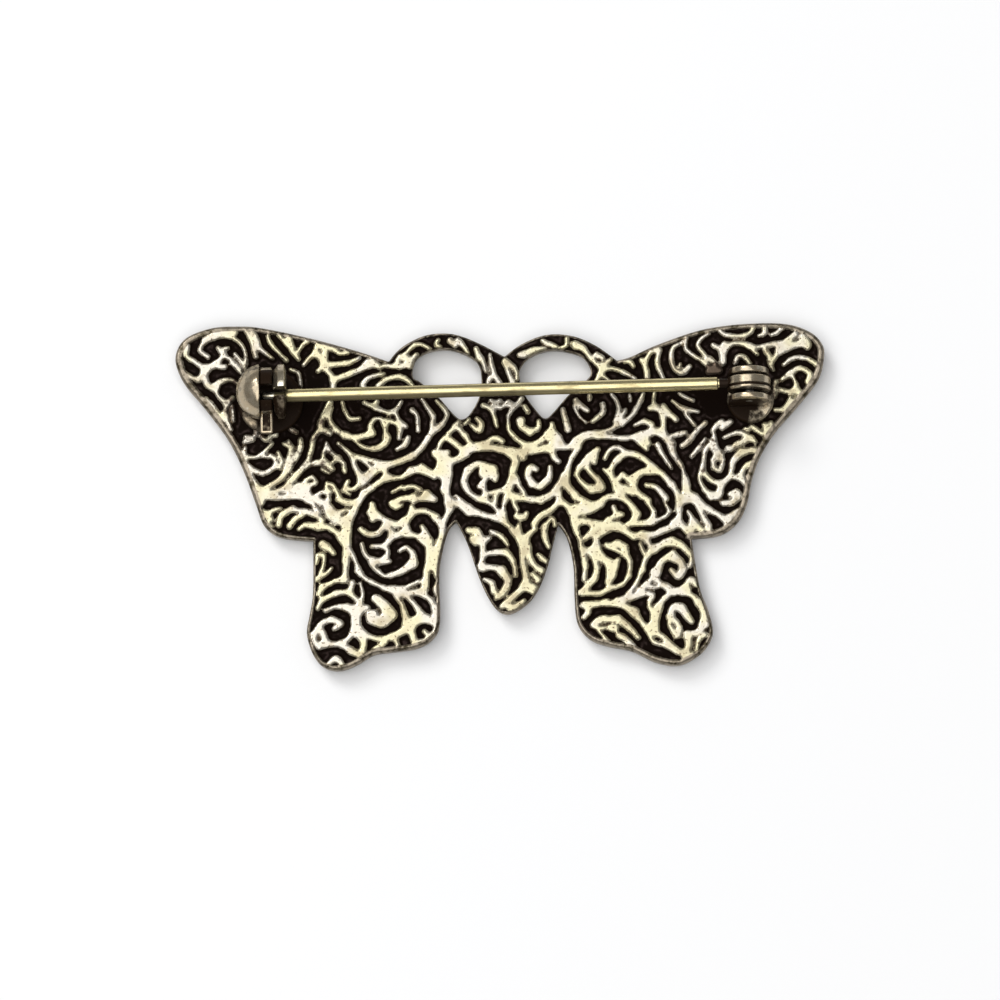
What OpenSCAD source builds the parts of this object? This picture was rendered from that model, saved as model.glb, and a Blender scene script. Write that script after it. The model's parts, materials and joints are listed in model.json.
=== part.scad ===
// Butterfly brooch seen from its pinned side: a cast plate covered in raised scrolls,
// a hinged pin stem across both wings, and a ball catch with a turning lock.
// Millimetres. The plate's plain front rests on z = 0 and the pinned side faces +Z.

/* [Plate] */
// Width over both wing tips
wing_span = 54; // [50:0.5:60]
// Height from the forewing tops to the hindwing tails
wing_height = 29.4; // [27:0.2:33]
// Thickness from the front to the tops of the scrolls
plate_thickness = 2; // [1.6:0.1:3]
// Height of the scrolls and the rim over the ground between them
relief_height = 0.3; // [0.2:0.05:0.4]
// Width of the raised rim
rim_width = 0.42; // [0.3:0.02:0.6]
// How far the front and back edges are stepped in for their rounding
edge_rounding = 0.18; // [0.1:0.02:0.3]

/* [Pin] */
// Diameter of the pin stem's wire
stem_d = 1.08; // [0.9:0.02:1.2]
// Distance from the hinge rivet to the centre of the ball catch
pin_reach = 40.2; // [38:0.1:42]
// Height of the pin's centre over the scrolls
pin_rise = 2.4; // [2.3:0.1:3]
// Length of the cone that ends in the blunt point
point_length = 2.4; // [1:0.2:3]
// Turn of the pin against the line of the wing tips, in degrees
pin_skew = 0.87; // [0:0.01:2]

/* [Hinge] */
// Distance of the rivet right of the plate's middle
hinge_x = 20.6; // [20:0.1:21]
// Distance of the rivet above the plate's middle
hinge_y = 8.9; // [8.6:0.1:9.4]
// Diameter of the pin's round head
head_d = 3.6; // [3.2:0.1:4]
// Thickness of the pin's round head
head_thickness = 1.1; // [1:0.05:1.3]
// Thickness of each hinge cheek
cheek_thickness = 0.6; // [0.5:0.05:0.8]
// Diameter of the rivet
rivet_d = 0.8; // [0.6:0.05:1]
// Diameter of the hinge's base pad
hinge_pad_d = 4.2; // [4:0.1:5]

/* [Catch] */
// Diameter of the ball
ball_d = 4.66; // [4.4:0.02:5]
// Width of the gap that the lock turns in
lock_gap = 1.04; // [1:0.02:1.2]
// Thickness of the upright disc beside the gap
disc_thickness = 1.12; // [1:0.01:1.3]
// Diameter of the catch's base pad
catch_pad_d = 5.4; // [5.2:0.1:6]
// Reach of the lock's lever from the turning axis
lever_reach = 3.6; // [3.2:0.1:4]
// Thickness of the lock's lever
lever_thickness = 0.7; // [0.5:0.05:0.9]

/* [Fits] */
// Radial clearance of the rivet in the pin's head
running_clearance = 0.05; // [0.03:0.01:0.1]
// Play of the pin's head between the cheeks, each side
side_clearance = 0.15; // [0.1:0.01:0.25]
// Radial clearance of the pin in its slots
slot_clearance = 0.08; // [0.06:0.01:0.12]
// Play of the lock in its gap and bores
lock_clearance = 0.05; // [0.04:0.01:0.08]

/* [Hidden] */

// The plate is charted in steps of its own width and height. The middle of its outline
// is at one point of the chart, and the scrolls are counted from another
steps_wide = 651;
steps_high = 347;
step_x = wing_span / steps_wide;
step_y = wing_height / steps_high;
outline_middle = [0, -3];
scroll_middle = [-1.5, -0.7];

ground_z = plate_thickness - relief_height;
pad_height = 0.3;
pad_top = plate_thickness + pad_height;
// Each pad sits a little off its finding, towards the body and the tails
catch_pad_shift = [0.5, -0.35, 0];
hinge_pad_shift = [0.5, -0.7, 0];
// Solids that are joined reach into each other by overlap, and cutters run past the
// faces that they cut by clear_cut
overlap = 0.1;
clear_cut = 1;
curve_parts = 2;

stem_r = stem_d / 2;
pin_z = plate_thickness + pin_rise;
slot_r = stem_r + slot_clearance;

ball_r = ball_d / 2;
// The gap starts left of the ball's middle, and the disc ends where the ball would
gap_left = -0.2;
gap_right = gap_left + lock_gap;
disc_right = gap_right + disc_thickness;
disc_inset = 0.08;
disc_r = ball_r - disc_inset;
lock_r = pin_rise - pad_height - 2 * lock_clearance;
stub_r = 0.9;
hub_r = 1.15;
hub_depth = 0.5;
point_d = 0.4;
tip_play = 0.2;
tip_x = -pin_reach + gap_left + tip_play;

head_r = head_d / 2;
rivet_r = rivet_d / 2;
cheek_r = 1.65;
cheek_y = head_thickness / 2 + side_clearance;
neck_d = 0.76;
neck_drop = 0.14;
neck_length = 0.6;
rivet_overhang = 0.06;

pewter = [0.42, 0.38, 0.3];
brass = [0.78, 0.68, 0.4];
steel = [0.5, 0.48, 0.44];

// Outline of the plate in chart steps: each stretch is a smooth curve through its
// points, and the stretches meet at corners
outline_stretches = [
    // left forewing, from the notch at the hindwing round the tip to the left loop
    [[-187, -47], [-206, -46], [-224, -42], [-237, -31], [-245, -10], [-257, 22],
     [-273, 54], [-297, 86], [-317, 110], [-326, 131], [-323, 147], [-312, 158],
     [-289, 166], [-265, 167.5], [-241, 166], [-193, 156], [-145, 143], [-112, 132]],
    // left loop of the feelers
    [[-112, 132], [-104, 142], [-92, 151], [-73, 159], [-49, 160], [-25, 152], [4, 137]],
    // right loop of the feelers
    [[4, 137], [22, 150], [46, 159], [72, 158], [96, 148], [117, 133]],
    // right forewing, round the tip to the notch at the hindwing
    [[117, 133], [131, 137], [155, 148], [191, 161], [217, 167], [251, 170.5],
     [287, 170], [311, 162], [323, 150], [325, 137], [319, 114], [297, 86],
     [276, 62], [261, 38], [252, 14], [247, -10], [239, -27], [227, -38],
     [213, -43], [191, -45]],
    // right hindwing, down to the tail and up to the slot beside the body
    [[191, -45], [195, -72], [200, -98], [207, -116], [212, -137], [208, -150],
     [197, -162], [178, -171], [155, -168], [131, -157], [107, -152], [89, -145],
     [77, -130], [74, -106], [73, -74], [67, -46], [58, -31]],
    // body, from the right slot round its tip to the left slot
    [[58, -31], [52, -54], [47, -74], [37, -98], [25, -112], [10, -120], [-2, -117],
     [-12, -104], [-22, -82], [-33, -50], [-44, -28]],
    // left hindwing, down to the tail and up to the notch
    [[-44, -28], [-52, -38], [-58, -60], [-61, -84], [-60, -128], [-66, -144],
     [-82, -154], [-108, -158], [-126, -161], [-143, -171], [-160, -176.5],
     [-176, -173], [-187, -160], [-193, -140], [-190, -120], [-187, -98], [-187, -47]]
];

// The see-through loops, each a closed smooth curve through its points
left_hole = [
    [-88, 117], [-85, 133], [-73, 142], [-54, 145], [-36, 140], [-23, 131], [-19, 116],
    [-21, 97], [-30, 80], [-38, 74], [-46, 78], [-62, 96], [-80, 111]];
right_hole = [
    [20, 110], [20, 125], [30, 137], [50, 144], [70, 142], [84, 136], [91, 122],
    [86, 113], [69, 99], [54, 82], [46, 75], [39, 79], [24, 99]];

// Raised scrolls in chart steps. Columns: width at the start, width halfway, width at
// the end, then the points that the stroke runs through.
left_tip_scrolls = [
    [3, 5, 5, [-299, 156], [-285, 162], [-268, 163]],
    [6, 5, 4, [-298, 127], [-288, 131], [-280, 141], [-285, 148]],
    [5, 5, 4, [-286, 132], [-283, 129], [-278, 129]],
    [5, 5, 6, [-298, 123], [-297, 114], [-293, 109], [-287, 108]],
    [9, 5, 3, [-250, 160], [-247, 148]],
    [8, 6, 4, [-214, 155], [-209, 148]]
];
left_shoulder_scrolls = [
    [4, 5, 5, [-186, 150], [-180, 150], [-177, 144], [-178, 133]],
    [5, 5, 5, [-178, 134], [-176, 126], [-170, 118], [-169, 107]],
    [5, 5, 3, [-176, 131], [-162, 132], [-151, 134], [-143, 138]],
    [6, 5, 6, [-169, 116], [-155, 121], [-143, 126], [-134, 131]],
    [8, 9, 4, [-136, 131], [-131, 133], [-122, 129]],
    [6, 5, 4, [-92, 131], [-86, 141]],
    [3, 5, 7, [-107, 131], [-102, 138], [-94, 137]],
    [5, 5, 3, [-124, 109], [-116, 116], [-103, 119], [-94, 115], [-88, 108]],
    [5, 5, 2, [-138, 107], [-139, 112], [-133, 118], [-118, 122]],
    [5, 5, 4, [-172, 93], [-174, 89], [-179, 80], [-182, 72]],
    [4, 5, 5, [-182, 73], [-181, 67], [-173, 62]],
    [6, 6, 6, [-157, 60], [-147, 58], [-137, 60], [-130, 62]],
    [6, 5, 2, [-115, 58], [-117, 52], [-127, 47], [-138, 48], [-147, 54]],
    [4, 5, 3, [-94, 58], [-97, 51], [-105, 46]],
    [3, 5, 4, [-80, 96], [-72, 84], [-69, 78], [-71, 64]],
    [4, 5, 6, [-61, 70], [-72, 60], [-80, 48], [-90, 39]],
    [5, 7, 9, [-88, 40], [-100, 35], [-112, 31], [-124, 27], [-132, 21], [-140, 14]],
    [3, 5, 6, [-164, 52], [-151, 40], [-147, 28], [-141, 18]]
];
left_wing_scrolls = [
    [5, 5, 4, [-187, 32], [-178, 33], [-169, 26]],
    [4, 6, 6, [-164, -4], [-156, -7], [-146, -7]],
    [6, 7, 6, [-186, -3], [-175, -10], [-167, -18], [-158, -28]],
    [4, 5, 5, [-259, 38], [-252, 28], [-239, 22], [-226, 29]],
    [4, 5, 4, [-231, 40], [-227, 36], [-226, 30]],
    [4, 5, 4, [-256, 58], [-250, 56]],
    [4, 8, 6, [-211, 48], [-212, 36], [-215, 25]],
    [6, 5, 5, [-215, 26], [-221, 17], [-234, 8]],
    [4, 5, 4, [-202, 56], [-202, 47], [-207, 36], [-214, 27]],
    [6, 6, 4, [-195, 31], [-203, 23], [-212, 13], [-217, 7]],
    [3, 5, 7, [-253, 25], [-248, 15], [-243, 5], [-241, -7]],
    [7, 5, 6, [-242, 0], [-225, -2], [-205, -1], [-196, -3]],
    [9, 9, 6, [-201, 8], [-195, 2], [-193, -4]],
    [3, 6, 5, [-240, -15], [-234, -20], [-231, -24]],
    [5, 6, 5, [-223, -30], [-220, -20], [-209, -13]],
    [3, 6, 4, [-207, -14], [-192, -17], [-179, -25]],
    [5, 5, 3, [-212, -31], [-207, -24], [-199, -20]],
    [3, 5, 7, [-203, -34], [-196, -30], [-184, -31]],
    [7, 6, 5, [-184, -31], [-174, -32], [-162, -39]],
    [5, 6, 8, [-138, 2], [-146, -12], [-154, -26]],
    [5, 5, 6, [-139, 1], [-128, 9], [-116, 18]],
    [6, 5, 5, [-115, 18], [-118, 27]],
    [6, 7, 5, [-91, 25], [-80, 25], [-68, 19]],
    [6, 5, 5, [-66, 42], [-62, 33], [-66, 22]],
    [6, 5, 4, [-67, 42], [-54, 43]],
    [5, 5, 5, [-68, -4], [-84, -3], [-98, -3], [-110, -8]],
    [9, 7, 4, [-75, 1], [-67, -4]],
    [5, 5, 5, [-88, 0], [-88, -5]]
];
body_scrolls = [
    [6, 5, 5, [-52, 155], [-47, 151]],
    [5, 6, 2, [-26, 147], [-23, 140], [-19, 134], [-16, 124]],
    [5, 5, 4, [23, 89], [26, 84]],
    [3, 5, 4, [-54, 62], [-45, 68], [-37, 60]],
    [4, 5, 5, [-37, 60], [-32, 51], [-37, 45]],
    [3, 6, 5, [-63, 49], [-57, 57], [-47, 52], [-39, 44]],
    [5, 6, 8, [-57, 38], [-50, 34], [-42, 38], [-35, 44]],
    [8, 5, 4, [-36, 43], [-27, 49], [-15, 53], [-7, 57], [1, 54]],
    [8, 7, 8, [-28, 48], [-12, 48], [0, 46], [9, 43]],
    [4, 6, 4, [-30, 70], [-23, 65], [-21, 72], [-25, 77]],
    [9, 9, 8, [-54, 34], [-54, 20], [-57, 6]],
    [8, 7, 6, [-57, 6], [-54, -4], [-53, -12]],
    [5, 6, 7, [-62, 32], [-60, 22], [-56, 14]],
    [5, 6, 6, [-8, 28], [-16, 30], [-25, 31], [-34, 25]],
    [6, 6, 5, [-34, 25], [-38, 14], [-33, 3], [-22, -4]],
    [9, 10, 6, [-18, 25], [-9, 23], [-7, 16]],
    [6, 6, 4, [-20, 21], [-13, 20]],
    [5, 6, 4, [-22, 9], [-16, 16]],
    [10, 8, 6, [9, 43], [13, 36], [13, 28]],
    [6, 7, 8, [11, 26], [10, 16], [6, 6]],
    [5, 5, 6, [26, 49], [36, 53], [47, 60]],
    [6, 5, 4, [47, 60], [50, 66], [50, 72]],
    [8, 7, 6, [19, 75], [20, 69], [28, 64]],
    [6, 5, 4, [28, 64], [36, 67], [37, 74]],
    [6, 6, 8, [13, 44], [30, 44], [47, 48]],
    [5, 5, 4, [20, 43], [22, 37]],
    [12, 14, 10, [50, 61], [54, 56], [58, 52]],
    [4, 5, 6, [61, 86], [64, 75], [66, 66]],
    [8, 6, 8, [55, 51], [66, 48], [76, 55]],
    [9, 8, 8, [75, 54], [84, 60], [96, 61]],
    [7, 6, 4, [96, 61], [113, 58]],
    [5, 6, 4, [50, 45], [53, 38], [57, 34]],
    [6, 7, 6, [34, 26], [29, 28], [26, 20], [30, 12]],
    [6, 7, 4, [30, 12], [38, 9], [47, 18], [48, 28]],
    [4, 6, 6, [14, -2], [28, -4], [38, -5]],
    [6, 6, 6, [38, -5], [50, 1], [57, 10], [62, 18]],
    [4, 5, 5, [4, -4], [8, 0], [16, -2]],
    [4, 6, 8, [-51, -4], [-42, -9], [-33, -17]],
    [8, 6, 5, [-33, -14], [-20, -19], [-8, -22]],
    [5, 5, 6, [-8, -22], [4, -28], [14, -38]],
    [6, 5, 5, [14, -38], [18, -46], [22, -57]],
    [4, 6, 5, [17, -30], [18, -42]],
    [6, 6, 5, [15, -21], [19, -22]],
    [3, 5, 3, [-11, -36], [-1, -41], [6, -50]],
    [6, 7, 6, [-33, -35], [-25, -36], [-21, -44]],
    [7, 5, 3, [-20, -45], [-12, -43]],
    [5, 5, 7, [-19, -46], [-19, -56], [-20, -66], [-18, -72]],
    [7, 7, 6, [-29, -44], [-27, -47]],
    [4, 5, 5, [-20, -60], [-8, -57], [4, -57]],
    [5, 5, 3, [4, -57], [11, -65], [14, -80]],
    [5, 5, 7, [-22, -72], [-8, -72], [0, -76]],
    [8, 7, 6, [0, -75], [6, -85], [4, -93]],
    [5, 5, 4, [4, -93], [0, -99], [-6, -103]],
    [3, 6, 6, [-17, -84], [-10, -88], [-8, -96]],
    [5, 6, 5, [58, -6], [50, -14], [38, -21], [32, -29]],
    [5, 5, 6, [57, 3], [58, -6]],
    [6, 6, 6, [58, -6], [66, -11], [72, -22]],
    [6, 6, 3, [72, -22], [74, -34], [79, -46]],
    [4, 6, 6, [33, -34], [25, -42], [26, -52]],
    [6, 5, 6, [26, -52], [30, -66], [35, -72], [40, -75]],
    [5, 6, 7, [22, -56], [21, -66], [24, -80], [24, -91]],
    [7, 6, 5, [24, -90], [14, -99], [0, -111]],
    [8, 8, 5, [24, -89], [33, -97]],
    [4, 5, 3, [32, -91], [35, -96]],
    [5, 6, 4, [43, -32], [43, -42], [47, -52]],
    [3, 6, 5, [36, -59], [44, -66]],
    [3, 5, 6, [31, -78], [36, -84]],
    [3, 6, 6, [6, -113], [14, -111]]
];
left_tail_scrolls = [
    [10, 8, 6, [-155, -26], [-155, -50], [-156, -66]],
    [6, 5, 5, [-156, -66], [-157, -85]],
    [4, 6, 4, [-163, -42], [-157, -48]],
    [6, 6, 6, [-130, -9], [-126, -18], [-113, -27]],
    [6, 7, 6, [-113, -27], [-104, -29], [-97, -26]],
    [6, 6, 4, [-97, -26], [-91, -20], [-90, -12]],
    [8, 7, 5, [-131, -17], [-129, -24]],
    [5, 5, 6, [-90, -17], [-76, -16], [-66, -22]],
    [6, 6, 5, [-66, -22], [-60, -33], [-61, -46]],
    [6, 7, 8, [-61, -46], [-66, -57], [-69, -66]],
    [8, 5, 4, [-53, -8], [-52, -13], [-56, -22], [-59, -32]],
    [6, 7, 8, [-97, -26], [-94, -38]],
    [5, 5, 6, [-116, -30], [-111, -35], [-108, -41], [-98, -37]],
    [5, 5, 5, [-141, -34], [-133, -39], [-124, -38], [-117, -31]],
    [6, 5, 4, [-109, -40], [-117, -51]],
    [6, 5, 8, [-94, -38], [-85, -41], [-78, -45]],
    [8, 8, 6, [-78, -42], [-73, -50], [-73, -63]],
    [4, 6, 8, [-80, -31], [-76, -38], [-73, -46]],
    [6, 7, 7, [-72, -64], [-75, -76], [-77, -92]],
    [8, 6, 4, [-69, -64], [-67, -73], [-65, -81]],
    [9, 6, 4, [-90, -69], [-100, -76], [-110, -80]],
    [7, 6, 4, [-129, -66], [-112, -66]],
    [4, 5, 5, [-118, -92], [-104, -98], [-90, -97], [-77, -96]],
    [3, 5, 3, [-65, -88], [-66, -94], [-63, -100]],
    [8, 7, 4, [-179, -49], [-174, -52], [-168, -58]],
    [5, 5, 4, [-179, -92], [-183, -99]],
    [4, 5, 5, [-149, -87], [-152, -97]],
    [4, 5, 4, [-184, -113], [-178, -104], [-166, -98]],
    [4, 5, 5, [-166, -98], [-153, -97], [-143, -106]],
    [7, 8, 6, [-154, -112], [-146, -120], [-147, -134]],
    [6, 5, 4, [-147, -134], [-153, -143], [-160, -147]],
    [10, 8, 4, [-147, -114], [-134, -112]],
    [8, 7, 7, [-145, -116], [-144, -130], [-138, -138]],
    [5, 5, 6, [-138, -138], [-124, -143], [-108, -141]],
    [6, 8, 10, [-108, -141], [-99, -136], [-93, -132]],
    [4, 6, 5, [-167, -133], [-161, -128], [-169, -124]],
    [5, 5, 5, [-169, -124], [-180, -128], [-187, -138]],
    [5, 6, 6, [-180, -134], [-177, -142], [-175, -147]],
    [6, 5, 5, [-182, -149], [-168, -148], [-158, -149]],
    [4, 8, 6, [-158, -150], [-150, -155], [-142, -159]],
    [8, 7, 5, [-144, -137], [-138, -147], [-140, -158]],
    [3, 6, 4, [-174, -169], [-165, -163], [-156, -172]],
    [8, 10, 12, [-126, -103], [-118, -109], [-112, -119]],
    [12, 12, 9, [-112, -119], [-119, -126], [-129, -123]],
    [8, 7, 5, [-130, -124], [-132, -119], [-127, -117]],
    [4, 5, 8, [-97, -99], [-87, -109], [-79, -122]],
    [5, 5, 6, [-84, -97], [-72, -104], [-66, -114]],
    [7, 7, 6, [-66, -114], [-66, -125]],
    [12, 8, 8, [-92, -129], [-80, -123], [-68, -126]],
    [8, 7, 6, [-92, -132], [-87, -146]]
];
right_shoulder_scrolls = [
    [5, 5, 5, [18, 141], [22, 141]],
    [4, 6, 3, [23, 142], [33, 146], [43, 147]],
    [4, 5, 5, [41, 155], [48, 152], [54, 149]],
    [8, 6, 3, [74, 151], [82, 147], [89, 138]],
    [5, 5, 4, [95, 141], [101, 138]],
    [4, 5, 3, [91, 136], [99, 130], [109, 136]],
    [7, 5, 4, [100, 129], [99, 122], [94, 113]],
    [5, 5, 4, [74, 95], [79, 90], [86, 85]],
    [5, 5, 4, [101, 91], [101, 83], [91, 74]],
    [3, 5, 3, [102, 64], [115, 70], [124, 86]],
    [4, 5, 5, [140, 136], [144, 130], [146, 118]],
    [4, 5, 3, [121, 71], [130, 80], [137, 91], [142, 102]],
    [5, 5, 5, [149, 87], [156, 87], [161, 80], [162, 68]],
    [4, 5, 6, [162, 90], [168, 82], [174, 76]],
    [3, 5, 5, [133, 70], [142, 74], [150, 71]]
];
right_tip_scrolls = [
    [5, 5, 3, [295, 162], [289, 157], [282, 153], [272, 152]],
    [4, 5, 3, [265, 145], [269, 139], [269, 133], [272, 126]],
    [7, 7, 5, [279, 145], [288, 149], [298, 152], [308, 151]],
    [6, 6, 5, [302, 159], [306, 155], [307, 149]],
    [4, 5, 5, [281, 116], [289, 122], [297, 127], [304, 126], [309, 121], [307, 114]],
    [4, 5, 3, [279, 106], [288, 104], [296, 105], [302, 103], [308, 107]],
    [4, 5, 5, [275, 114], [273, 108], [273, 99]],
    [8, 7, 5, [224, 150], [222, 143], [222, 133]]
];
right_wing_scrolls = [
    [5, 5, 4, [181, 50], [187, 54], [195, 64], [204, 73]],
    [3, 5, 5, [211, 64], [215, 70], [220, 74]],
    [4, 5, 5, [221, 67], [229, 74]],
    [3, 8, 7, [213, 60], [213, 48], [218, 40]],
    [7, 5, 3, [217, 41], [222, 36]],
    [3, 5, 5, [201, 31], [203, 22], [211, 14], [220, 12]],
    [6, 6, 4, [217, 39], [212, 35], [212, 29]],
    [4, 5, 4, [213, 27], [218, 25], [221, 31]],
    [8, 8, 5, [210, -1], [217, 1], [220, 11]],
    [5, 5, 5, [221, 12], [229, 18], [238, 18]],
    [5, 5, 5, [238, 18], [245, 10]],
    [5, 6, 6, [229, 20], [232, 34], [240, 43]],
    [5, 5, 5, [240, 43], [250, 45], [260, 44]],
    [5, 5, 4, [239, 20], [244, 29], [254, 34]],
    [3, 5, 6, [259, 45], [264, 55], [269, 64]],
    [4, 5, 5, [263, 71], [267, 63]],
    [5, 6, 6, [270, 72], [269, 63]],
    [4, 7, 6, [228, 1], [235, 3], [236, -2]],
    [6, 5, 5, [236, -2], [231, -7], [221, -8]],
    [6, 6, 5, [227, 47], [231, 48]],
    [5, 5, 4, [235, 51], [249, 57]],
    [3, 7, 8, [182, 24], [184, 14], [185, 2]],
    [6, 11, 8, [179, -7], [188, -2], [194, -4]],
    [7, 6, 6, [192, -2], [206, -13], [223, -23]],
    [4, 5, 6, [194, -6], [200, -19], [207, -30]],
    [6, 5, 3, [224, -24], [231, -19], [239, -14]],
    [5, 6, 5, [227, -23], [226, -33]],
    [3, 5, 5, [186, -16], [193, -27], [200, -35]],
    [7, 7, 5, [191, -27], [190, -36]],
    [5, 5, 4, [183, -33], [185, -37]],
    [6, 5, 6, [177, -13], [177, -21], [172, -27]],
    [5, 6, 4, [177, -26], [182, -33]],
    [6, 6, 6, [176, -29], [164, -34], [152, -39], [140, -39]],
    [5, 5, 3, [150, -27], [128, -29]],
    [3, 5, 5, [145, -7], [152, -17], [149, -27]],
    [6, 6, 5, [97, -9], [106, -2], [120, -1]],
    [5, 6, 6, [120, -1], [130, -11], [135, -19]],
    [6, 6, 4, [135, -18], [131, -26], [126, -29]],
    [6, 7, 6, [62, 18], [67, 8], [74, -1]],
    [6, 6, 8, [74, -1], [84, -7], [90, -11]],
    [12, 12, 8, [74, -15], [86, -13], [98, -9]],
    [5, 5, 6, [77, 48], [70, 37], [66, 26], [64, 16]],
    [5, 6, 6, [152, 28], [140, 38], [127, 42], [116, 36]],
    [6, 5, 6, [116, 36], [109, 25], [112, 13], [118, 7]],
    [6, 6, 6, [150, 29], [160, 22], [170, 11]],
    [5, 5, 6, [170, 11], [176, 1], [177, -14]],
    [8, 6, 6, [131, 16], [140, 23], [154, 24]],
    [7, 6, 5, [131, 16], [133, 6], [139, 0], [147, -5]],
    [4, 5, 6, [145, 10], [154, 8], [164, -3]],
    [4, 6, 4, [117, 16], [121, 20], [126, 16]],
    [8, 8, 6, [115, 7], [124, 6], [131, 3]],
    [5, 5, 4, [96, 46], [87, 39], [78, 28]],
    [8, 9, 5, [90, 6], [99, 8], [96, 17]],
    [4, 5, 4, [94, 44], [93, 33]],
    [4, 5, 4, [86, 36], [86, 27], [93, 19]],
    [4, 5, 8, [119, 57], [130, 58], [141, 60]],
    [8, 8, 8, [141, 60], [152, 64], [161, 62]],
    [8, 6, 4, [136, 57], [145, 46]],
    [5, 6, 4, [142, 58], [147, 52]],
    [7, 6, 6, [160, 63], [170, 51]],
    [7, 6, 4, [170, 52], [171, 43], [180, 29]],
    [5, 5, 2, [156, 50], [160, 42], [170, 27]],
    [4, 5, 4, [171, 60], [184, 63]]
];
right_tail_scrolls = [
    [7, 6, 8, [74, -28], [84, -26], [94, -30]],
    [9, 8, 8, [94, -30], [106, -30], [118, -31]],
    [8, 6, 6, [116, -31], [132, -41]],
    [6, 6, 4, [132, -41], [142, -41], [149, -52]],
    [5, 6, 5, [94, -33], [84, -43]],
    [6, 6, 6, [106, -34], [95, -42], [94, -50]],
    [6, 6, 5, [94, -50], [100, -60], [112, -68]],
    [4, 5, 5, [116, -64], [113, -73]],
    [4, 5, 6, [79, -50], [84, -54], [93, -54]],
    [4, 6, 4, [80, -54], [83, -70], [82, -84]],
    [5, 6, 5, [89, -57], [95, -72], [92, -84]],
    [5, 6, 6, [92, -84], [80, -97]],
    [5, 5, 4, [98, -62], [106, -70], [106, -88]],
    [5, 5, 4, [80, -97], [97, -98], [107, -93]],
    [4, 5, 5, [127, -80], [128, -67], [123, -58]],
    [6, 7, 6, [123, -58], [123, -52], [116, -48]],
    [5, 5, 5, [112, -12], [115, -18], [120, -19]],
    [6, 5, 4, [152, -53], [144, -63], [140, -75]],
    [6, 7, 8, [151, -55], [160, -49], [170, -46]],
    [8, 7, 6, [170, -47], [178, -49], [187, -57]],
    [8, 6, 6, [155, -76], [160, -66], [168, -61]],
    [6, 7, 7, [168, -61], [178, -66], [181, -74]],
    [6, 6, 4, [181, -74], [176, -81], [169, -75]],
    [5, 6, 6, [171, -57], [174, -63]],
    [8, 5, 6, [152, -78], [156, -86], [165, -92]],
    [6, 8, 8, [165, -92], [174, -96], [185, -94]],
    [5, 5, 5, [152, -81], [138, -95]],
    [4, 5, 4, [182, -93], [189, -84], [194, -90]],
    [5, 6, 5, [136, -98], [150, -99], [147, -106]],
    [6, 6, 5, [116, -105], [130, -102], [140, -98]],
    [5, 7, 5, [81, -109], [90, -109], [104, -107]],
    [5, 6, 8, [104, -107], [120, -110], [132, -116]],
    [8, 5, 6, [132, -116], [140, -127], [147, -135]],
    [4, 6, 6, [165, -150], [174, -155], [182, -157]],
    [6, 6, 4, [84, -110], [86, -116], [82, -122]],
    [5, 6, 5, [147, -111], [151, -118], [152, -130]],
    [7, 8, 8, [156, -112], [154, -122], [151, -133]],
    [5, 5, 5, [156, -113], [161, -104], [170, -97]],
    [8, 5, 5, [148, -133], [160, -141], [176, -156]],
    [5, 6, 7, [183, -158], [186, -150], [185, -140]],
    [6, 6, 8, [185, -138], [194, -137], [201, -129]],
    [8, 6, 6, [201, -129], [201, -118], [196, -107]],
    [6, 5, 5, [196, -107], [190, -100], [180, -97]],
    [6, 6, 7, [167, -121], [172, -111], [179, -112]],
    [7, 7, 6, [179, -112], [189, -126]],
    [5, 5, 6, [170, -122], [177, -131], [175, -139]],
    [4, 7, 6, [91, -129], [99, -124], [116, -123]],
    [6, 6, 4, [116, -123], [126, -131], [136, -142]],
    [7, 8, 7, [109, -132], [113, -132]],
    [5, 5, 3, [92, -130], [97, -133], [103, -132]],
    [6, 6, 4, [117, -140], [123, -143], [133, -152]],
    [5, 6, 4, [182, -163], [190, -158]]
];
scroll_tables = [
    left_tip_scrolls, left_shoulder_scrolls, left_wing_scrolls, body_scrolls,
    left_tail_scrolls, right_shoulder_scrolls, right_tip_scrolls, right_wing_scrolls,
    right_tail_scrolls];

// A chart point in millimetres
function placed(p, middle) = [(p[0] - middle[0]) * step_x, (p[1] - middle[1]) * step_y];

// Point between p[i] and p[i + 1] on the smooth curve through all of p
function on_curve(a, b, c, d, t) =
    0.5 * (2 * b + (c - a) * t + (2 * a - 5 * b + 4 * c - d) * t * t
           + (3 * b - a - 3 * c + d) * t * t * t);
function open_curve(p, parts) = [
    for (i = [0 : len(p) - 2])
        for (k = [0 : parts - 1])
            on_curve(p[max(i - 1, 0)], p[i], p[i + 1], p[min(i + 2, len(p) - 1)], k / parts),
    p[len(p) - 1]];
function closed_curve(p, parts) = [
    for (i = [0 : len(p) - 1])
        for (k = [0 : parts - 1])
            on_curve(p[(i + len(p) - 1) % len(p)], p[i], p[(i + 1) % len(p)],
                     p[(i + 2) % len(p)], k / parts)];

// The stroke of one table row as a closed outline in chart steps
function stroke_points(row) = [for (i = [3 : len(row) - 1]) row[i]];
function stroke_width(row, t) =
    t < 0.5 ? row[0] + (row[1] - row[0]) * 2 * t : row[1] + (row[2] - row[1]) * (2 * t - 1);
function unit(v) = v / norm(v);
function along(p, i) = unit(p[min(i + 1, len(p) - 1)] - p[max(i - 1, 0)]);
function stroke_side(row, p, side) = [
    for (i = [0 : len(p) - 1])
        p[i] + side * stroke_width(row, i / (len(p) - 1)) / 2 * [-along(p, i)[1], along(p, i)[0]]];
function backwards(list) = [for (i = [len(list) - 1 : -1 : 0]) list[i]];
function stroke_outline(row) =
    let (p = stroke_points(row),
         last = len(p) - 1)
    concat([p[0] - along(p, 0) * row[0] / 2], stroke_side(row, p, 1),
           [p[last] + along(p, last) * row[2] / 2], backwards(stroke_side(row, p, -1)));

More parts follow.
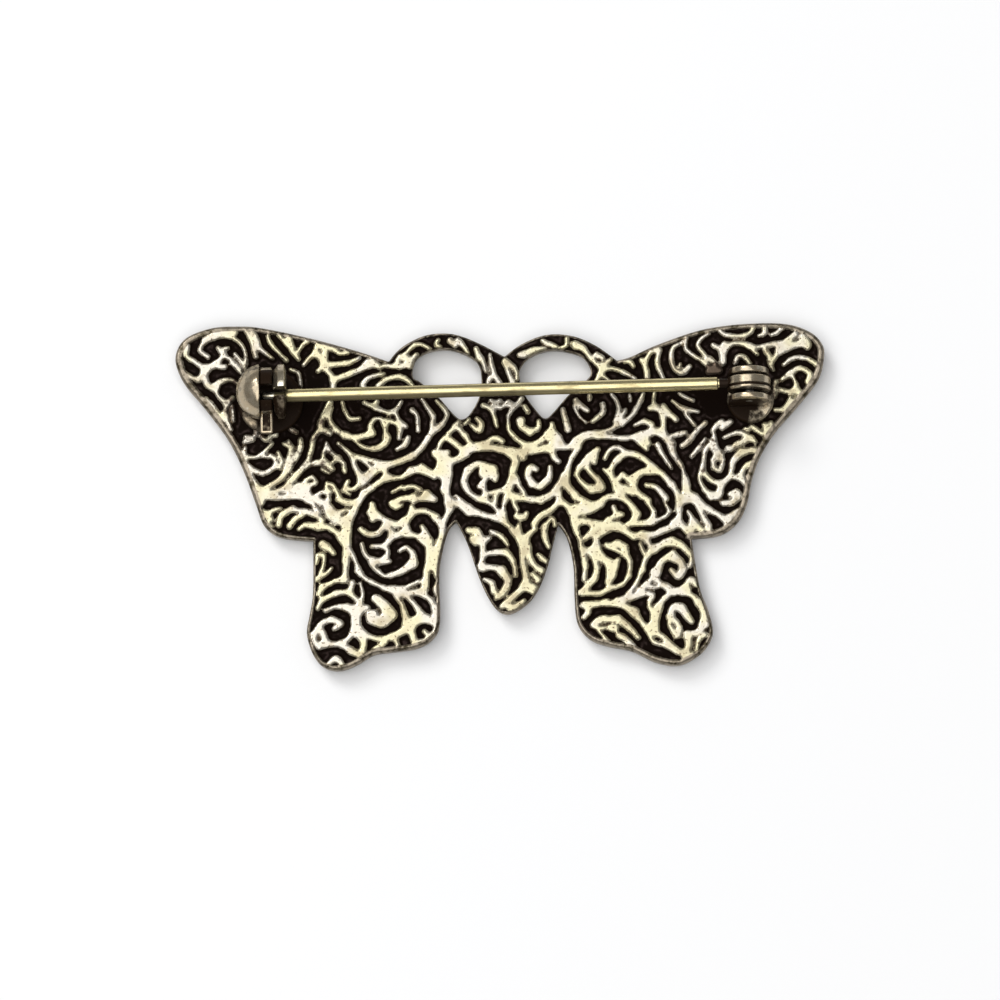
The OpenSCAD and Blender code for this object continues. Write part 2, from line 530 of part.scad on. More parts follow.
module chart(points, middle = outline_middle) {
    polygon([for (p = points) placed(p, middle)]);
}

// The plate seen from above, without its see-through loops
module plate_shape() {
    chart([for (s = outline_stretches)
               let (c = open_curve(s, curve_parts)) for (i = [0 : len(c) - 2]) c[i]]);
}

module loop_holes() {
    chart(closed_curve(left_hole, curve_parts));
    chart(closed_curve(right_hole, curve_parts));
}

// The plate shape drawn in by a distance, with the loops opened by as much
module drawn_in(distance) {
    offset(delta = -distance) difference() {
        plate_shape();
        loop_holes();
    }
}

// The raised rim round the plate and round its loops
module rim_shape() {
    difference() {
        drawn_in(edge_rounding);
        drawn_in(rim_width);
    }
}

module cast_plate() {
    linear_extrude(edge_rounding + overlap) drawn_in(edge_rounding);
    translate([0, 0, edge_rounding]) linear_extrude(ground_z - edge_rounding) drawn_in(0);
    translate([0, 0, ground_z - overlap]) linear_extrude(relief_height + overlap) {
        rim_shape();
        for (table = scroll_tables)
            for (row = table)
                chart(stroke_outline(row), scroll_middle);
    }
}

// Moves a child from the pin's frame, whose origin is on the rivet's axis with the stem
// running to -X, to its place over the plate
module on_pin() {
    translate([hinge_x, hinge_y, pin_z]) rotate([0, 0, pin_skew]) children();
}

// A round bar along X from x0 to x1
module bar(r, x0, x1) {
    translate([x0, 0, 0]) rotate([0, 90, 0]) cylinder(r = r, h = x1 - x0, $fn = 48);
}

// A slot along X, round at its bottom and open at the top
module open_slot(r, x0, x1, height) {
    bar(r, x0, x1);
    translate([x0, -r, 0]) cube([x1 - x0, 2 * r, height]);
}

module base_pad(d) {
    translate([0, 0, ground_z - pin_z - overlap])
        cylinder(d = d, h = pad_top - ground_z + overlap, $fn = 64);
}

module catch_housing() {
    translate([-pin_reach, 0, 0]) {
        translate(catch_pad_shift) base_pad(catch_pad_d);
        difference() {
            intersection() {
                sphere(r = ball_r, $fn = 64);
                translate([-ball_d, -ball_d, ground_z - pin_z])
                    cube([ball_d + gap_left, 2 * ball_d, 2 * ball_d]);
            }
            bar(stub_r + lock_clearance, gap_left - hub_depth - lock_clearance,
                gap_left + clear_cut);
        }
        difference() {
            intersection() {
                bar(disc_r, gap_right, disc_right);
                translate([0, -ball_d, ground_z - pin_z])
                    cube([ball_d, 2 * ball_d, 2 * ball_d]);
            }
            bar(hub_r + lock_clearance, gap_right - clear_cut,
                gap_right + hub_depth + lock_clearance);
            open_slot(slot_r, gap_right - clear_cut, disc_right + clear_cut, ball_d);
        }
    }
}

module hinge_cheek(side) {
    translate([0, side * (cheek_y + cheek_thickness / 2), 0])
        difference() {
            union() {
                rotate([90, 0, 0])
                    cylinder(r = cheek_r, h = cheek_thickness, center = true, $fn = 48);
                translate([-cheek_r, -cheek_thickness / 2, ground_z - pin_z])
                    cube([2 * cheek_r, cheek_thickness, pin_z - ground_z]);
            }
            rotate([90, 0, 0])
                cylinder(r = rivet_r, h = cheek_thickness + clear_cut, center = true, $fn = 32);
        }
}

module butterfly_plate() {
    color(pewter) union() {
        cast_plate();
        on_pin() {
            catch_housing();
            translate(hinge_pad_shift) base_pad(hinge_pad_d);
            hinge_cheek(1);
            hinge_cheek(-1);
        }
    }
}

module pin_stem() {
    stem_end = -head_r - neck_length / 2;
    color(brass) on_pin() {
        difference() {
            union() {
                rotate([90, 0, 0])
                    cylinder(r = head_r, h = head_thickness, center = true, $fn = 48);
                translate([0, 0, -neck_drop])
                    bar(neck_d / 2, stem_end - neck_length, -rivet_d);
            }
            rotate([90, 0, 0])
                cylinder(r = rivet_r + running_clearance, h = head_thickness + clear_cut,
                         center = true, $fn = 32);
        }
        bar(stem_r, tip_x + point_length, stem_end);
        translate([tip_x, 0, 0]) rotate([0, 90, 0])
            cylinder(r1 = point_d / 2, r2 = stem_r, h = point_length, $fn = 48);
    }
}

module hinge_rivet() {
    length = 2 * (cheek_y + cheek_thickness + rivet_overhang);
    color(steel) on_pin()
        rotate([90, 0, 0]) cylinder(r = rivet_r, h = length, center = true, $fn = 32);
}

module lock_roller() {
    wheel_left = gap_left + lock_clearance;
    wheel_right = gap_right - lock_clearance;
    color(pewter) on_pin() translate([-pin_reach, 0, 0]) {
        bar(stub_r, gap_left - hub_depth, wheel_left + lock_clearance);
        difference() {
            union() {
                bar(lock_r, wheel_left, wheel_right);
                bar(hub_r, wheel_right - lock_clearance, gap_right + hub_depth);
                translate([wheel_left, -lever_reach, -lever_thickness / 2])
                    cube([wheel_right - wheel_left, lever_reach - lock_r / 2, lever_thickness]);
            }
            open_slot(slot_r, wheel_left, disc_right, ball_d);
        }
    }
}

butterfly_plate();
pin_stem();
hinge_rivet();
lock_roller();
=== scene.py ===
"""A cast butterfly brooch seen from its pinned side, dressed for a studio picture."""

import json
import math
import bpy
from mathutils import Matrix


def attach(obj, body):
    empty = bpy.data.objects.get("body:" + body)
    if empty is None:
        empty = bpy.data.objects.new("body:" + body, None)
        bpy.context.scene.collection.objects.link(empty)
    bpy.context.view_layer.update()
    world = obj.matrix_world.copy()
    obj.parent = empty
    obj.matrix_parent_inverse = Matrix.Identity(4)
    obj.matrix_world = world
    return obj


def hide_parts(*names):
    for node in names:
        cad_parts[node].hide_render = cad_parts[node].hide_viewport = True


bl_info = {
    "name": "Butterfly Brooch",
    "version": (1, 0, 0),
    "blender": (4, 5, 0),
    "location": "3D View > Sidebar > Brooch",
    "description": "Cast plate with raised scrolls, a hinged pin stem and a ball catch",
    "category": "Object",
}

import bmesh
import bpy
import numpy as np
from mathutils import Matrix, Vector

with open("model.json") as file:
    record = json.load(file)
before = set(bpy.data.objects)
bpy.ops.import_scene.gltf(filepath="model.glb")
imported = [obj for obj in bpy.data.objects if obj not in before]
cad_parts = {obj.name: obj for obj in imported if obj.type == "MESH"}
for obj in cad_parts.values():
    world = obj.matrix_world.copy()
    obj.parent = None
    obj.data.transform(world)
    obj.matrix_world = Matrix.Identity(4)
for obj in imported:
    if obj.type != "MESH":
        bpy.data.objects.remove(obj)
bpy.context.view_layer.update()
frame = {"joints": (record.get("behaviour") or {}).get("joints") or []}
MM = 0.001

# The plate is charted in steps of its own width and height. The middle of its outline
# is at one point of the chart, and the scrolls are counted from another
STEPS_WIDE = 651
STEPS_HIGH = 347
OUTLINE_MIDDLE = (0, -3)
SCROLL_MIDDLE = (-1.5, -0.7)
WING_SPAN = 54 * MM
WING_HEIGHT = 29.4 * MM
STEP = np.array([WING_SPAN / STEPS_WIDE, WING_HEIGHT / STEPS_HIGH])

# Where the findings stand: the rivet, the middle of the ball and the line between them
JOINTS = {joint["name"]: joint for joint in frame["joints"]}
RIVET = Vector(JOINTS["pin_hinge"]["pos_m"])
BALL = Vector(JOINTS["lock_turn"]["pos_m"])
REACH = (RIVET - BALL).length
SKEW = math.atan2(RIVET.y - BALL.y, RIVET.x - BALL.x)
PIN_HEIGHT = RIVET.z

# Left face of the lock's gap, seen from the middle of the ball
GAP_LEFT = -0.35 * MM
# The bore in the disc and the lock, and the middle of the slot over it, across the pin
BORE = 0.9 * MM
SLOT_MIDDLE = -0.4 * MM
# How far the bent wire lies above the head's middle, and its point below the ball's
WIRE_LIFT = 0.17 * MM
POINT_DROP = 0.38 * MM
# Each pad sits a little off its finding, towards the body and the tails
CATCH_PAD_SHIFT = Vector((0.5, -0.35, 0)) * MM
HINGE_PAD_SHIFT = Vector((0.2, -0.75, 0)) * MM
# Where the scrolls are darkened: painted shade round the ball and the rivet, where the findings shade
# the plate, and darker patches on the wings. The place over the plate, the reach and how much darker
SHADED_AND_DIM_SPOTS = (
    (BALL, 4.6 * MM, 0.75),
    (RIVET, 4.2 * MM, 0.7),
    (Vector((-15, 4.1, 2)) * MM, 3.2 * MM, 0.45),
    (Vector((16.3, 3.6, 2)) * MM, 2.8 * MM, 0.4),
    (Vector((17.7, 10.5, 2)) * MM, 0.9 * MM, 0.9),
)
# The point of the plate in the middle of the picture
VIEW_TARGET = (-0.034 * MM, -0.375 * MM, 2 * MM)

# Outline of the plate in chart steps. Each stretch is a smooth curve, given as the widths
# of its rim at the start, halfway and at the end, then the points that it runs through.
OUTLINE = (
    # left forewing, from the notch at the hindwing round the tip to the left loop
    (3, 8, 3, -187, -47, -206, -46, -224, -42, -237, -31, -245, -10, -257, 22, -273, 54,
     -297, 86, -317, 110, -326, 131, -323, 147, -312, 158, -289, 166, -265, 167.5,
     -241, 166, -193, 156, -145, 143, -112, 132),
    # left and right loop of the feelers
    (1, 2, 1, -112, 132, -104, 142, -92, 151, -73, 159, -49, 160, -25, 152, 4, 137),
    (1, 2, 1, 4, 137, 22, 150, 46, 159, 72, 158, 96, 148, 117, 133),
    # right forewing, round the tip to the notch at the hindwing
    (3, 7, 6, 117, 133, 131, 137, 155, 148, 191, 161, 217, 167, 251, 170.5, 287, 170,
     311, 162, 323, 150, 325, 137, 319, 114, 297, 86, 276, 62, 261, 38, 252, 14,
     247, -10, 239, -27, 227, -38, 213, -43, 191, -45),
    # right hindwing, down to the tail and up to the slot beside the body
    (2, 6, 2, 191, -45, 195, -72, 200, -98, 207, -116, 212, -137, 208, -150, 197, -162,
     178, -171, 155, -168, 131, -157, 107, -152, 89, -145, 77, -130, 74, -106, 73, -74,
     67, -46, 58, -31),
    # body, from the right slot round its tip to the left slot
    (1, 2, 1, 58, -31, 52, -54, 47, -74, 37, -98, 25, -112, 10, -120, -2, -117,
     -12, -104, -22, -82, -33, -50, -44, -28),
    # left hindwing, down to the tail and up to the notch
    (2, 6, 2, -44, -28, -52, -38, -58, -60, -61, -84, -60, -128, -66, -144, -82, -154,
     -108, -158, -126, -161, -143, -171, -160, -176.5, -176, -173, -187, -160,
     -193, -140, -190, -120, -187, -98, -187, -47),
)

# The see-through loops, closed smooth curves with an even rim: its width, then the points
LOOPS = (
    (1, -88, 117, -85, 133, -73, 142, -54, 145, -36, 140, -23, 131, -19, 116, -21, 97,
     -30, 80, -38, 74, -46, 78, -62, 96, -80, 111),
    (1, 20, 110, 20, 125, 30, 137, 50, 144, 70, 142, 84, 136, 91, 122, 86, 113,
     69, 99, 54, 82, 46, 75, 39, 79, 24, 99),
)

# Raised scrolls in chart steps, one stroke a row: its width at the start, halfway and at
# the end, then the points that it runs through
SCROLLS = (
    # left wing tip
    (4, 4.5, 2, -295, 139, -303, 146, -297, 155, -282, 160, -268, 157, -259, 147, -256, 131),
    (3, 5, 5, -299, 156, -285, 162, -268, 163), (4, 4, 5, -316, 150, -317, 140, -310, 135, -298, 127),
    (6, 5, 4, -298, 127, -288, 131, -280, 141, -285, 148), (3, 3, 3, -281, 144, -279, 147, -275, 148),
    (4, 3, 2, -280, 141, -272, 136, -262, 127), (5, 5, 4, -286, 132, -283, 129, -278, 129),
    (6, 4, 3, -297, 126, -301, 121, -305, 116), (5, 5, 6, -298, 123, -297, 114, -293, 109, -287, 108),
    (6, 4, 3, -288, 108, -282, 114, -272, 116, -264, 111), (2, 3, 3, -319, 124, -312, 119, -304, 115),
    (3, 3, 4, -288, 107, -284, 99, -276, 92), (4, 4, 5, -276, 92, -270, 97),
    (4, 4, 5, -276, 91, -278, 78), (3, 3, 3, -297, 97, -289, 89, -283, 80),
    (2, 3, 2, -268, 142, -261, 134, -257, 126), (2, 3, 2, -271, 132, -261, 122),
    (9, 5, 3, -250, 160, -247, 148), (3, 3, 4, -257, 165, -252, 155, -247, 139),
    (3, 3, 2, -246, 157, -242, 147, -230, 137), (3, 3, 3, -235, 160, -231, 151, -216, 135),
    (3, 3.5, 4, -224, 161, -214, 149, -204, 137), (8, 6, 4, -214, 155, -209, 148),
    (3, 3, 3, -212, 126, -204, 122, -202, 110), (3, 3, 3, -270, 89, -269, 75),
    (3, 3, 3, -194, 155, -200, 151, -205, 143),
    # left shoulder and loop
    (4, 5, 5, -186, 150, -180, 150, -177, 144, -178, 133),
    (5, 5, 5, -178, 134, -176, 126, -170, 118, -169, 107),
    (3, 4, 4, -186, 150, -187, 144, -183, 138, -180, 131), (4, 3, 3, -185, 143, -192, 139, -199, 131),
    (4, 4, 5, -179, 130, -184, 125), (5, 4, 3, -178, 149, -170, 147, -163, 143, -154, 143),
    (5, 5, 3, -176, 131, -162, 132, -151, 134, -143, 138),
    (6, 5, 6, -169, 116, -155, 121, -143, 126, -134, 131), (8, 9, 4, -136, 131, -131, 133, -122, 129),
    (3, 4, 6, -118, 130, -105, 129, -92, 131), (6, 5, 4, -92, 131, -86, 141),
    (3, 5, 7, -107, 131, -102, 138, -94, 137),
    (3, 4, 3, -101, 139, -94, 145, -87, 151, -79, 151, -72, 147),
    (5, 5, 3, -124, 109, -116, 116, -103, 119, -94, 115, -88, 108),
    (5, 5, 2, -138, 107, -139, 112, -133, 118, -118, 122),
    (5, 5, 4, -172, 93, -174, 89, -179, 80, -182, 72), (4, 5, 5, -182, 73, -181, 67, -173, 62),
    (3, 4, 6, -171, 88, -173, 77, -166, 66, -157, 60),
    (6, 6, 6, -157, 60, -147, 58, -137, 60, -130, 62),
    (4, 4, 3, -131, 64, -132, 70, -128, 76, -122, 77, -117, 73),
    (4, 3, 3, -117, 73, -112, 75, -104, 70), (6, 4, 3, -117, 72, -116, 57),
    (6, 5, 2, -115, 58, -117, 52, -127, 47, -138, 48, -147, 54),
    (3, 3, 4, -160, 93, -157, 84, -152, 77, -143, 77), (3, 3, 4, -138, 93, -127, 88),
    (3, 4, 4, -125, 94, -127, 88, -115, 83), (3, 4, 5, -101, 94, -105, 87, -111, 83),
    (3, 4, 4, -107, 84, -103, 75, -96, 69), (4, 4, 3, -101, 72, -103, 57),
    (4, 5, 3, -94, 58, -97, 51, -105, 46), (5, 4, 4, -90, 85, -85, 79, -84, 65),
    (3, 5, 4, -80, 96, -72, 84, -69, 78, -71, 64), (2, 4, 4, -66, 95, -55, 81, -64, 67),
    (4, 5, 6, -61, 70, -72, 60, -80, 48, -90, 39),
    (5, 7, 9, -88, 40, -100, 35, -112, 31, -124, 27, -132, 21, -140, 14),
    (3, 5, 6, -164, 52, -151, 40, -147, 28, -141, 18), (5, 4, 4, -149, 39, -138, 37, -117, 31),
    (2, 2, 3, -141, 36, -130, 27), (4, 4, 4, -140, 13, -149, 6, -156, 9, -154, 14),
    (3, 3, 2, -158, 5, -152, 1),
    # left wing
    (2, 4, 3, -176, 53, -172, 45, -164, 37, -158, 32), (5, 5, 4, -187, 32, -178, 33, -169, 26),
    (2, 3, 2, -176, 50, -179, 40, -176, 34), (3, 4, 4, -169, 33, -163, 38),
    (4, 4, 3, -158, 28, -157, 23), (2, 3, 2, -180, 26, -173, 22),
    (4, 4, 4, -175, 12, -168, 9, -163, -3), (4, 6, 6, -164, -4, -156, -7, -146, -7),
    (3, 3, 2, -176, 8, -170, 3), (4, 4, 4, -183, -7, -186, -2, -180, 3, -174, 1, -173, -5),
    (6, 7, 6, -186, -3, -175, -10, -167, -18, -158, -28), (3, 4, 3, -177, -15, -172, -23, -164, -28),
    (4, 4, 2, -165, -18, -154, -14), (5, 4, 3, -278, 81, -275, 74, -271, 66),
    (2, 3, 4, -270, 58, -267, 52, -259, 39), (4, 5, 5, -259, 38, -252, 28, -239, 22, -226, 29),
    (4, 4, 3, -257, 39, -251, 38), (3, 4, 3, -247, 38, -240, 41, -230, 52),
    (4, 4, 2, -240, 41, -235, 38), (4, 5, 4, -231, 40, -227, 36, -226, 30),
    (3, 3, 2, -224, 43, -220, 34, -222, 27), (3, 4, 3, -226, 65, -226, 60),
    (3, 3, 4, -241, 59, -236, 55, -231, 60), (4, 5, 4, -256, 58, -250, 56),
    (3, 3, 3, -258, 53, -254, 54), (3, 3, 3, -257, 47, -258, 42), (4, 4, 4, -247, 72, -246, 62),
    (4, 8, 6, -211, 48, -212, 36, -215, 25), (6, 5, 5, -215, 26, -221, 17, -234, 8),
    (4, 5, 4, -202, 56, -202, 47, -207, 36, -214, 27), (2, 3, 3, -214, 55, -211, 49),
    (2, 3, 2, -219, 52, -214, 49), (4, 4, 3, -206, 63, -213, 67),
    (4, 4, 4, -184, 64, -189, 56, -191, 45, -195, 32),
    (6, 6, 4, -195, 31, -203, 23, -212, 13, -217, 7), (3, 5, 7, -253, 25, -248, 15, -243, 5, -241, -7),
    (6, 4, 8, -240, 6, -230, 3, -218, 6, -196, 8), (7, 5, 6, -242, 0, -225, -2, -205, -1, -196, -3),
    (9, 9, 6, -201, 8, -195, 2, -193, -4), (6, 4, 3, -194, -4, -182, -17),
    (4, 4, 4, -196, 15, -190, 18, -186, 13, -192, 10), (3, 6, 5, -240, -15, -234, -20, -231, -24),
    (4, 4, 2, -235, -19, -228, -15, -221, -13), (2, 2, 2, -239, -24, -230, -31),
    (5, 6, 5, -223, -30, -220, -20, -209, -13), (3, 6, 4, -207, -14, -192, -17, -179, -25),
    (5, 5, 3, -212, -31, -207, -24, -199, -20), (3, 5, 7, -203, -34, -196, -30, -184, -31),
    (7, 6, 5, -184, -31, -174, -32, -162, -39), (5, 6, 8, -138, 2, -146, -12, -154, -26),
    (5, 5, 6, -139, 1, -128, 9, -116, 18), (6, 5, 5, -115, 18, -118, 27),
    (5, 4, 6, -112, 18, -101, 18, -91, 24), (6, 7, 5, -91, 25, -80, 25, -68, 19),
    (3, 4, 4, -80, 30, -71, 22), (6, 5, 5, -66, 42, -62, 33, -66, 22), (6, 5, 4, -67, 42, -54, 43),
    (4, 4, 4, -97, 7, -90, 9, -82, 6), (2, 3, 3, -110, 3, -101, 8),
    (5, 5, 5, -68, -4, -84, -3, -98, -3, -110, -8), (4, 4, 3, -110, -8, -106, -12, -100, -10),
    (9, 7, 4, -75, 1, -67, -4), (5, 5, 5, -88, 0, -88, -5),
    # body and middle
    (4, 4, 4, -64, 156, -66, 152, -62, 149), (6, 5, 5, -52, 155, -47, 151),
    (4, 4, 3, -44, 156, -40, 152, -34, 143), (5, 6, 2, -26, 147, -23, 140, -19, 134, -16, 124),
    (3, 4, 5, -12, 141, -10, 130, -7, 121, -2, 112), (4, 4, 4, -12, 118, -14, 112),
    (3, 4, 5, 2, 133, 6, 125, 11, 112), (5, 4, 2, 4, 135, 13, 127, 16, 117),
    (4, 4, 3, -19, 90, -12, 87, -8, 80, -5, 69), (5, 4, 4, 7, 93, 14, 90, 20, 97),
    (5, 5, 4, 23, 89, 26, 84), (4, 4, 3, 11, 87, 6, 80), (3, 3, 3, -11, 95, -6, 92, -3, 88),
    (3, 3, 3, 0, 88, 6, 92), (3, 4, 5, -2, 95, -8, 89), (3, 5, 4, -54, 62, -45, 68, -37, 60),
    (4, 5, 5, -37, 60, -32, 51, -37, 45), (3, 6, 5, -63, 49, -57, 57, -47, 52, -39, 44),
    (5, 6, 8, -57, 38, -50, 34, -42, 38, -35, 44), (8, 5, 4, -36, 43, -27, 49, -15, 53, -7, 57, 1, 54),
    (8, 7, 8, -28, 48, -12, 48, 0, 46, 9, 43), (3, 3, 3, -48, 70, -43, 74),
    (3, 3, 3, -37, 72, -33, 76), (4, 6, 4, -30, 70, -23, 65, -21, 72, -25, 77),
    (9, 9, 8, -54, 34, -54, 20, -57, 6), (8, 7, 6, -57, 6, -54, -4, -53, -12),
    (5, 6, 7, -62, 32, -60, 22, -56, 14), (5, 6, 6, -8, 28, -16, 30, -25, 31, -34, 25),
    (6, 6, 5, -34, 25, -38, 14, -33, 3, -22, -4), (5, 4, 4, -22, -4, -10, -9, -1, -19),
    (9, 10, 6, -18, 25, -9, 23, -7, 16), (6, 6, 4, -20, 21, -13, 20), (5, 6, 4, -22, 9, -16, 16),
    (4, 4, 5, -18, 11, -17, 2, -16, -4), (4, 4, 6, -14, 2, -5, 4, 5, 6), (5, 4, 4, -6, 1, -7, -9),
    (10, 8, 6, 9, 43, 13, 36, 13, 28), (6, 7, 8, 11, 26, 10, 16, 6, 6),
    (5, 4, 3, 14, 18, 18, 9, 23, 2), (3, 4, 5, 6, 76, 7, 66, 14, 57, 26, 49),
    (5, 5, 6, 26, 49, 36, 53, 47, 60), (6, 5, 4, 47, 60, 50, 66, 50, 72),
    (8, 7, 6, 19, 75, 20, 69, 28, 64), (6, 5, 4, 28, 64, 36, 67, 37, 74),
    (6, 6, 8, 13, 44, 30, 44, 47, 48), (5, 5, 4, 20, 43, 22, 37), (12, 14, 10, 50, 61, 54, 56, 58, 52),
    (4, 5, 6, 61, 86, 64, 75, 66, 66), (8, 6, 8, 55, 51, 66, 48, 76, 55),
    (9, 8, 8, 75, 54, 84, 60, 96, 61), (7, 6, 4, 96, 61, 113, 58), (5, 6, 4, 50, 45, 53, 38, 57, 34),
    (6, 7, 6, 34, 26, 29, 28, 26, 20, 30, 12), (6, 7, 4, 30, 12, 38, 9, 47, 18, 48, 28),
    (4, 6, 6, 14, -2, 28, -4, 38, -5), (6, 6, 6, 38, -5, 50, 1, 57, 10, 62, 18),
    (4, 5, 5, 4, -4, 8, 0, 16, -2), (4, 4, 4, 11, -1, 12, -8, 15, -14),
    (4, 4, 4, 4, -3, 2, -12, 4, -25), (2, 3, 4, -46, 0, -33, -11),
    (4, 6, 8, -51, -4, -42, -9, -33, -17), (8, 6, 5, -33, -14, -20, -19, -8, -22),
    (5, 5, 6, -8, -22, 4, -28, 14, -38), (6, 5, 5, 14, -38, 18, -46, 22, -57),
    (4, 6, 5, 17, -30, 18, -42), (6, 6, 5, 15, -21, 19, -22), (4, 4, 3, 25, -18, 24, -22),
    (3, 5, 3, -11, -36, -1, -41, 6, -50), (6, 7, 6, -33, -35, -25, -36, -21, -44),
    (7, 5, 3, -20, -45, -12, -43), (5, 5, 7, -19, -46, -19, -56, -20, -66, -18, -72),
    (7, 7, 6, -29, -44, -27, -47), (4, 5, 5, -20, -60, -8, -57, 4, -57),
    (5, 5, 3, 4, -57, 11, -65, 14, -80), (5, 5, 7, -22, -72, -8, -72, 0, -76),
    (8, 7, 6, 0, -75, 6, -85, 4, -93), (5, 5, 4, 4, -93, 0, -99, -6, -103),
    (3, 6, 6, -17, -84, -10, -88, -8, -96), (5, 6, 5, 58, -6, 50, -14, 38, -21, 32, -29),
    (5, 5, 6, 57, 3, 58, -6), (6, 6, 6, 58, -6, 66, -11, 72, -22),
    (6, 6, 3, 72, -22, 74, -34, 79, -46), (4, 6, 6, 33, -34, 25, -42, 26, -52),
    (6, 5, 6, 26, -52, 30, -66, 35, -72, 40, -75), (5, 6, 7, 22, -56, 21, -66, 24, -80, 24, -91),
    (7, 6, 5, 24, -90, 14, -99, 0, -111), (8, 8, 5, 24, -89, 33, -97), (4, 5, 3, 32, -91, 35, -96),
    (3, 3, 4, 44, -30, 51, -23, 53, -30), (5, 6, 4, 43, -32, 43, -42, 47, -52),
    (3, 6, 5, 36, -59, 44, -66), (3, 5, 6, 31, -78, 36, -84), (3, 6, 6, 6, -113, 14, -111),
    (3, 4, 4, 18, -108, 22, -105),
    # left tail
    (10, 8, 6, -155, -26, -155, -50, -156, -66), (6, 5, 5, -156, -66, -157, -85),
    (4, 6, 4, -163, -42, -157, -48), (6, 6, 6, -130, -9, -126, -18, -113, -27),
    (6, 7, 6, -113, -27, -104, -29, -97, -26), (6, 6, 4, -97, -26, -91, -20, -90, -12),
    (8, 7, 5, -131, -17, -129, -24), (5, 5, 6, -90, -17, -76, -16, -66, -22),
    (6, 6, 5, -66, -22, -60, -33, -61, -46), (6, 7, 8, -61, -46, -66, -57, -69, -66),
    (8, 5, 4, -53, -8, -52, -13, -56, -22, -59, -32), (6, 7, 8, -97, -26, -94, -38),
    (5, 5, 6, -116, -30, -111, -35, -108, -41, -98, -37),
    (5, 5, 5, -141, -34, -133, -39, -124, -38, -117, -31), (6, 5, 4, -109, -40, -117, -51),
    (4, 4, 5, -130, -51, -120, -51, -114, -56, -116, -62), (6, 5, 8, -94, -38, -85, -41, -78, -45),
    (8, 8, 6, -78, -42, -73, -50, -73, -63), (4, 6, 8, -80, -31, -76, -38, -73, -46),
    (6, 7, 7, -72, -64, -75, -76, -77, -92), (8, 6, 4, -69, -64, -67, -73, -65, -81),
    (3, 4, 8, -102, -56, -96, -52, -89, -58, -88, -67), (9, 6, 4, -90, -69, -100, -76, -110, -80),
    (4, 4, 3, -110, -80, -118, -80, -130, -70), (3, 4, 6, -140, -49, -136, -60, -128, -66),
    (7, 6, 4, -129, -66, -112, -66), (3, 4, 4, -151, -55, -145, -69, -141, -78),
    (5, 4, 4, -144, -76, -135, -84, -118, -92), (4, 5, 5, -118, -92, -104, -98, -90, -97, -77, -96),
    (5, 4, 3, -111, -92, -97, -92, -83, -86), (3, 5, 3, -65, -88, -66, -94, -63, -100),
    (8, 7, 4, -179, -49, -174, -52, -168, -58),
    (4, 4, 3, -186, -67, -183, -60, -178, -60, -178, -70, -181, -78),
    (3, 4, 4, -170, -73, -176, -79, -186, -84), (5, 4, 5, -156, -83, -167, -86, -179, -92),
    (5, 5, 4, -179, -92, -183, -99), (4, 5, 5, -149, -87, -152, -97),
    (4, 5, 4, -184, -113, -178, -104, -166, -98), (4, 5, 5, -166, -98, -153, -97, -143, -106),
    (2, 3, 3, -141, -88, -139, -98, -140, -106), (4, 4, 6, -176, -115, -165, -111, -154, -112),
    (7, 8, 6, -154, -112, -146, -120, -147, -134), (6, 5, 4, -147, -134, -153, -143, -160, -147),
    (10, 8, 4, -147, -114, -134, -112), (8, 7, 7, -145, -116, -144, -130, -138, -138),
    (5, 5, 6, -138, -138, -124, -143, -108, -141), (6, 8, 10, -108, -141, -99, -136, -93, -132),
    (4, 6, 5, -167, -133, -161, -128, -169, -124), (5, 5, 5, -169, -124, -180, -128, -187, -138),
    (4, 4, 6, -187, -138, -186, -145, -182, -150), (5, 6, 6, -180, -134, -177, -142, -175, -147),
    (6, 5, 5, -182, -149, -168, -148, -158, -149), (4, 8, 6, -158, -150, -150, -155, -142, -159),
    (8, 7, 5, -144, -137, -138, -147, -140, -158), (3, 6, 4, -174, -169, -165, -163, -156, -172),
    (8, 10, 12, -126, -103, -118, -109, -112, -119), (12, 12, 9, -112, -119, -119, -126, -129, -123),
    (8, 7, 5, -130, -124, -132, -119, -127, -117), (3, 4, 7, -106, -101, -99, -110, -95, -126),
    (4, 5, 8, -97, -99, -87, -109, -79, -122), (5, 5, 6, -84, -97, -72, -104, -66, -114),
    (7, 7, 6, -66, -114, -66, -125), (12, 8, 8, -92, -129, -80, -123, -68, -126),
    (4, 4, 4, -77, -136, -71, -141), (4, 4, 5, -65, -132, -72, -142, -83, -147),
    (8, 7, 6, -92, -132, -87, -146), (4, 4, 3, -108, -142, -103, -150),
    (5, 4, 3, -133, -159, -125, -152, -116, -147),
    # right loop and shoulder
    (5, 5, 5, 18, 141, 22, 141), (4, 6, 3, 23, 142, 33, 146, 43, 147),
    (4, 5, 5, 41, 155, 48, 152, 54, 149), (4, 4, 3, 65, 157, 65, 151, 60, 148),
    (8, 6, 3, 74, 151, 82, 147, 89, 138), (5, 5, 4, 95, 141, 101, 138),
    (4, 5, 3, 91, 136, 99, 130, 109, 136), (7, 5, 4, 100, 129, 99, 122, 94, 113),
    (3, 4, 4, 98, 121, 104, 126, 112, 127, 123, 123, 134, 117), (3, 3, 3, 100, 121, 109, 114),
    (5, 5, 4, 74, 95, 79, 90, 86, 85), (3, 4, 3, 88, 100, 88, 96), (5, 5, 4, 101, 91, 101, 83, 91, 74),
    (3, 4, 3, 110, 101, 116, 93, 117, 84, 113, 74), (2, 2, 2, 72, 90, 77, 80, 84, 73),
    (3, 5, 3, 102, 64, 115, 70, 124, 86), (3, 4, 3, 123, 134, 129, 134, 132, 129),
    (4, 5, 5, 140, 136, 144, 130, 146, 118), (3, 3, 3, 145, 135, 149, 143, 158, 146),
    (4, 4, 3, 158, 146, 156, 132, 162, 117),
    (3, 4, 5, 182, 154, 172, 148, 170, 138, 173, 127, 181, 123, 188, 129),
    (2, 2, 2, 179, 132, 178, 129), (3, 4, 3, 186, 158, 184, 149, 190, 142, 203, 134),
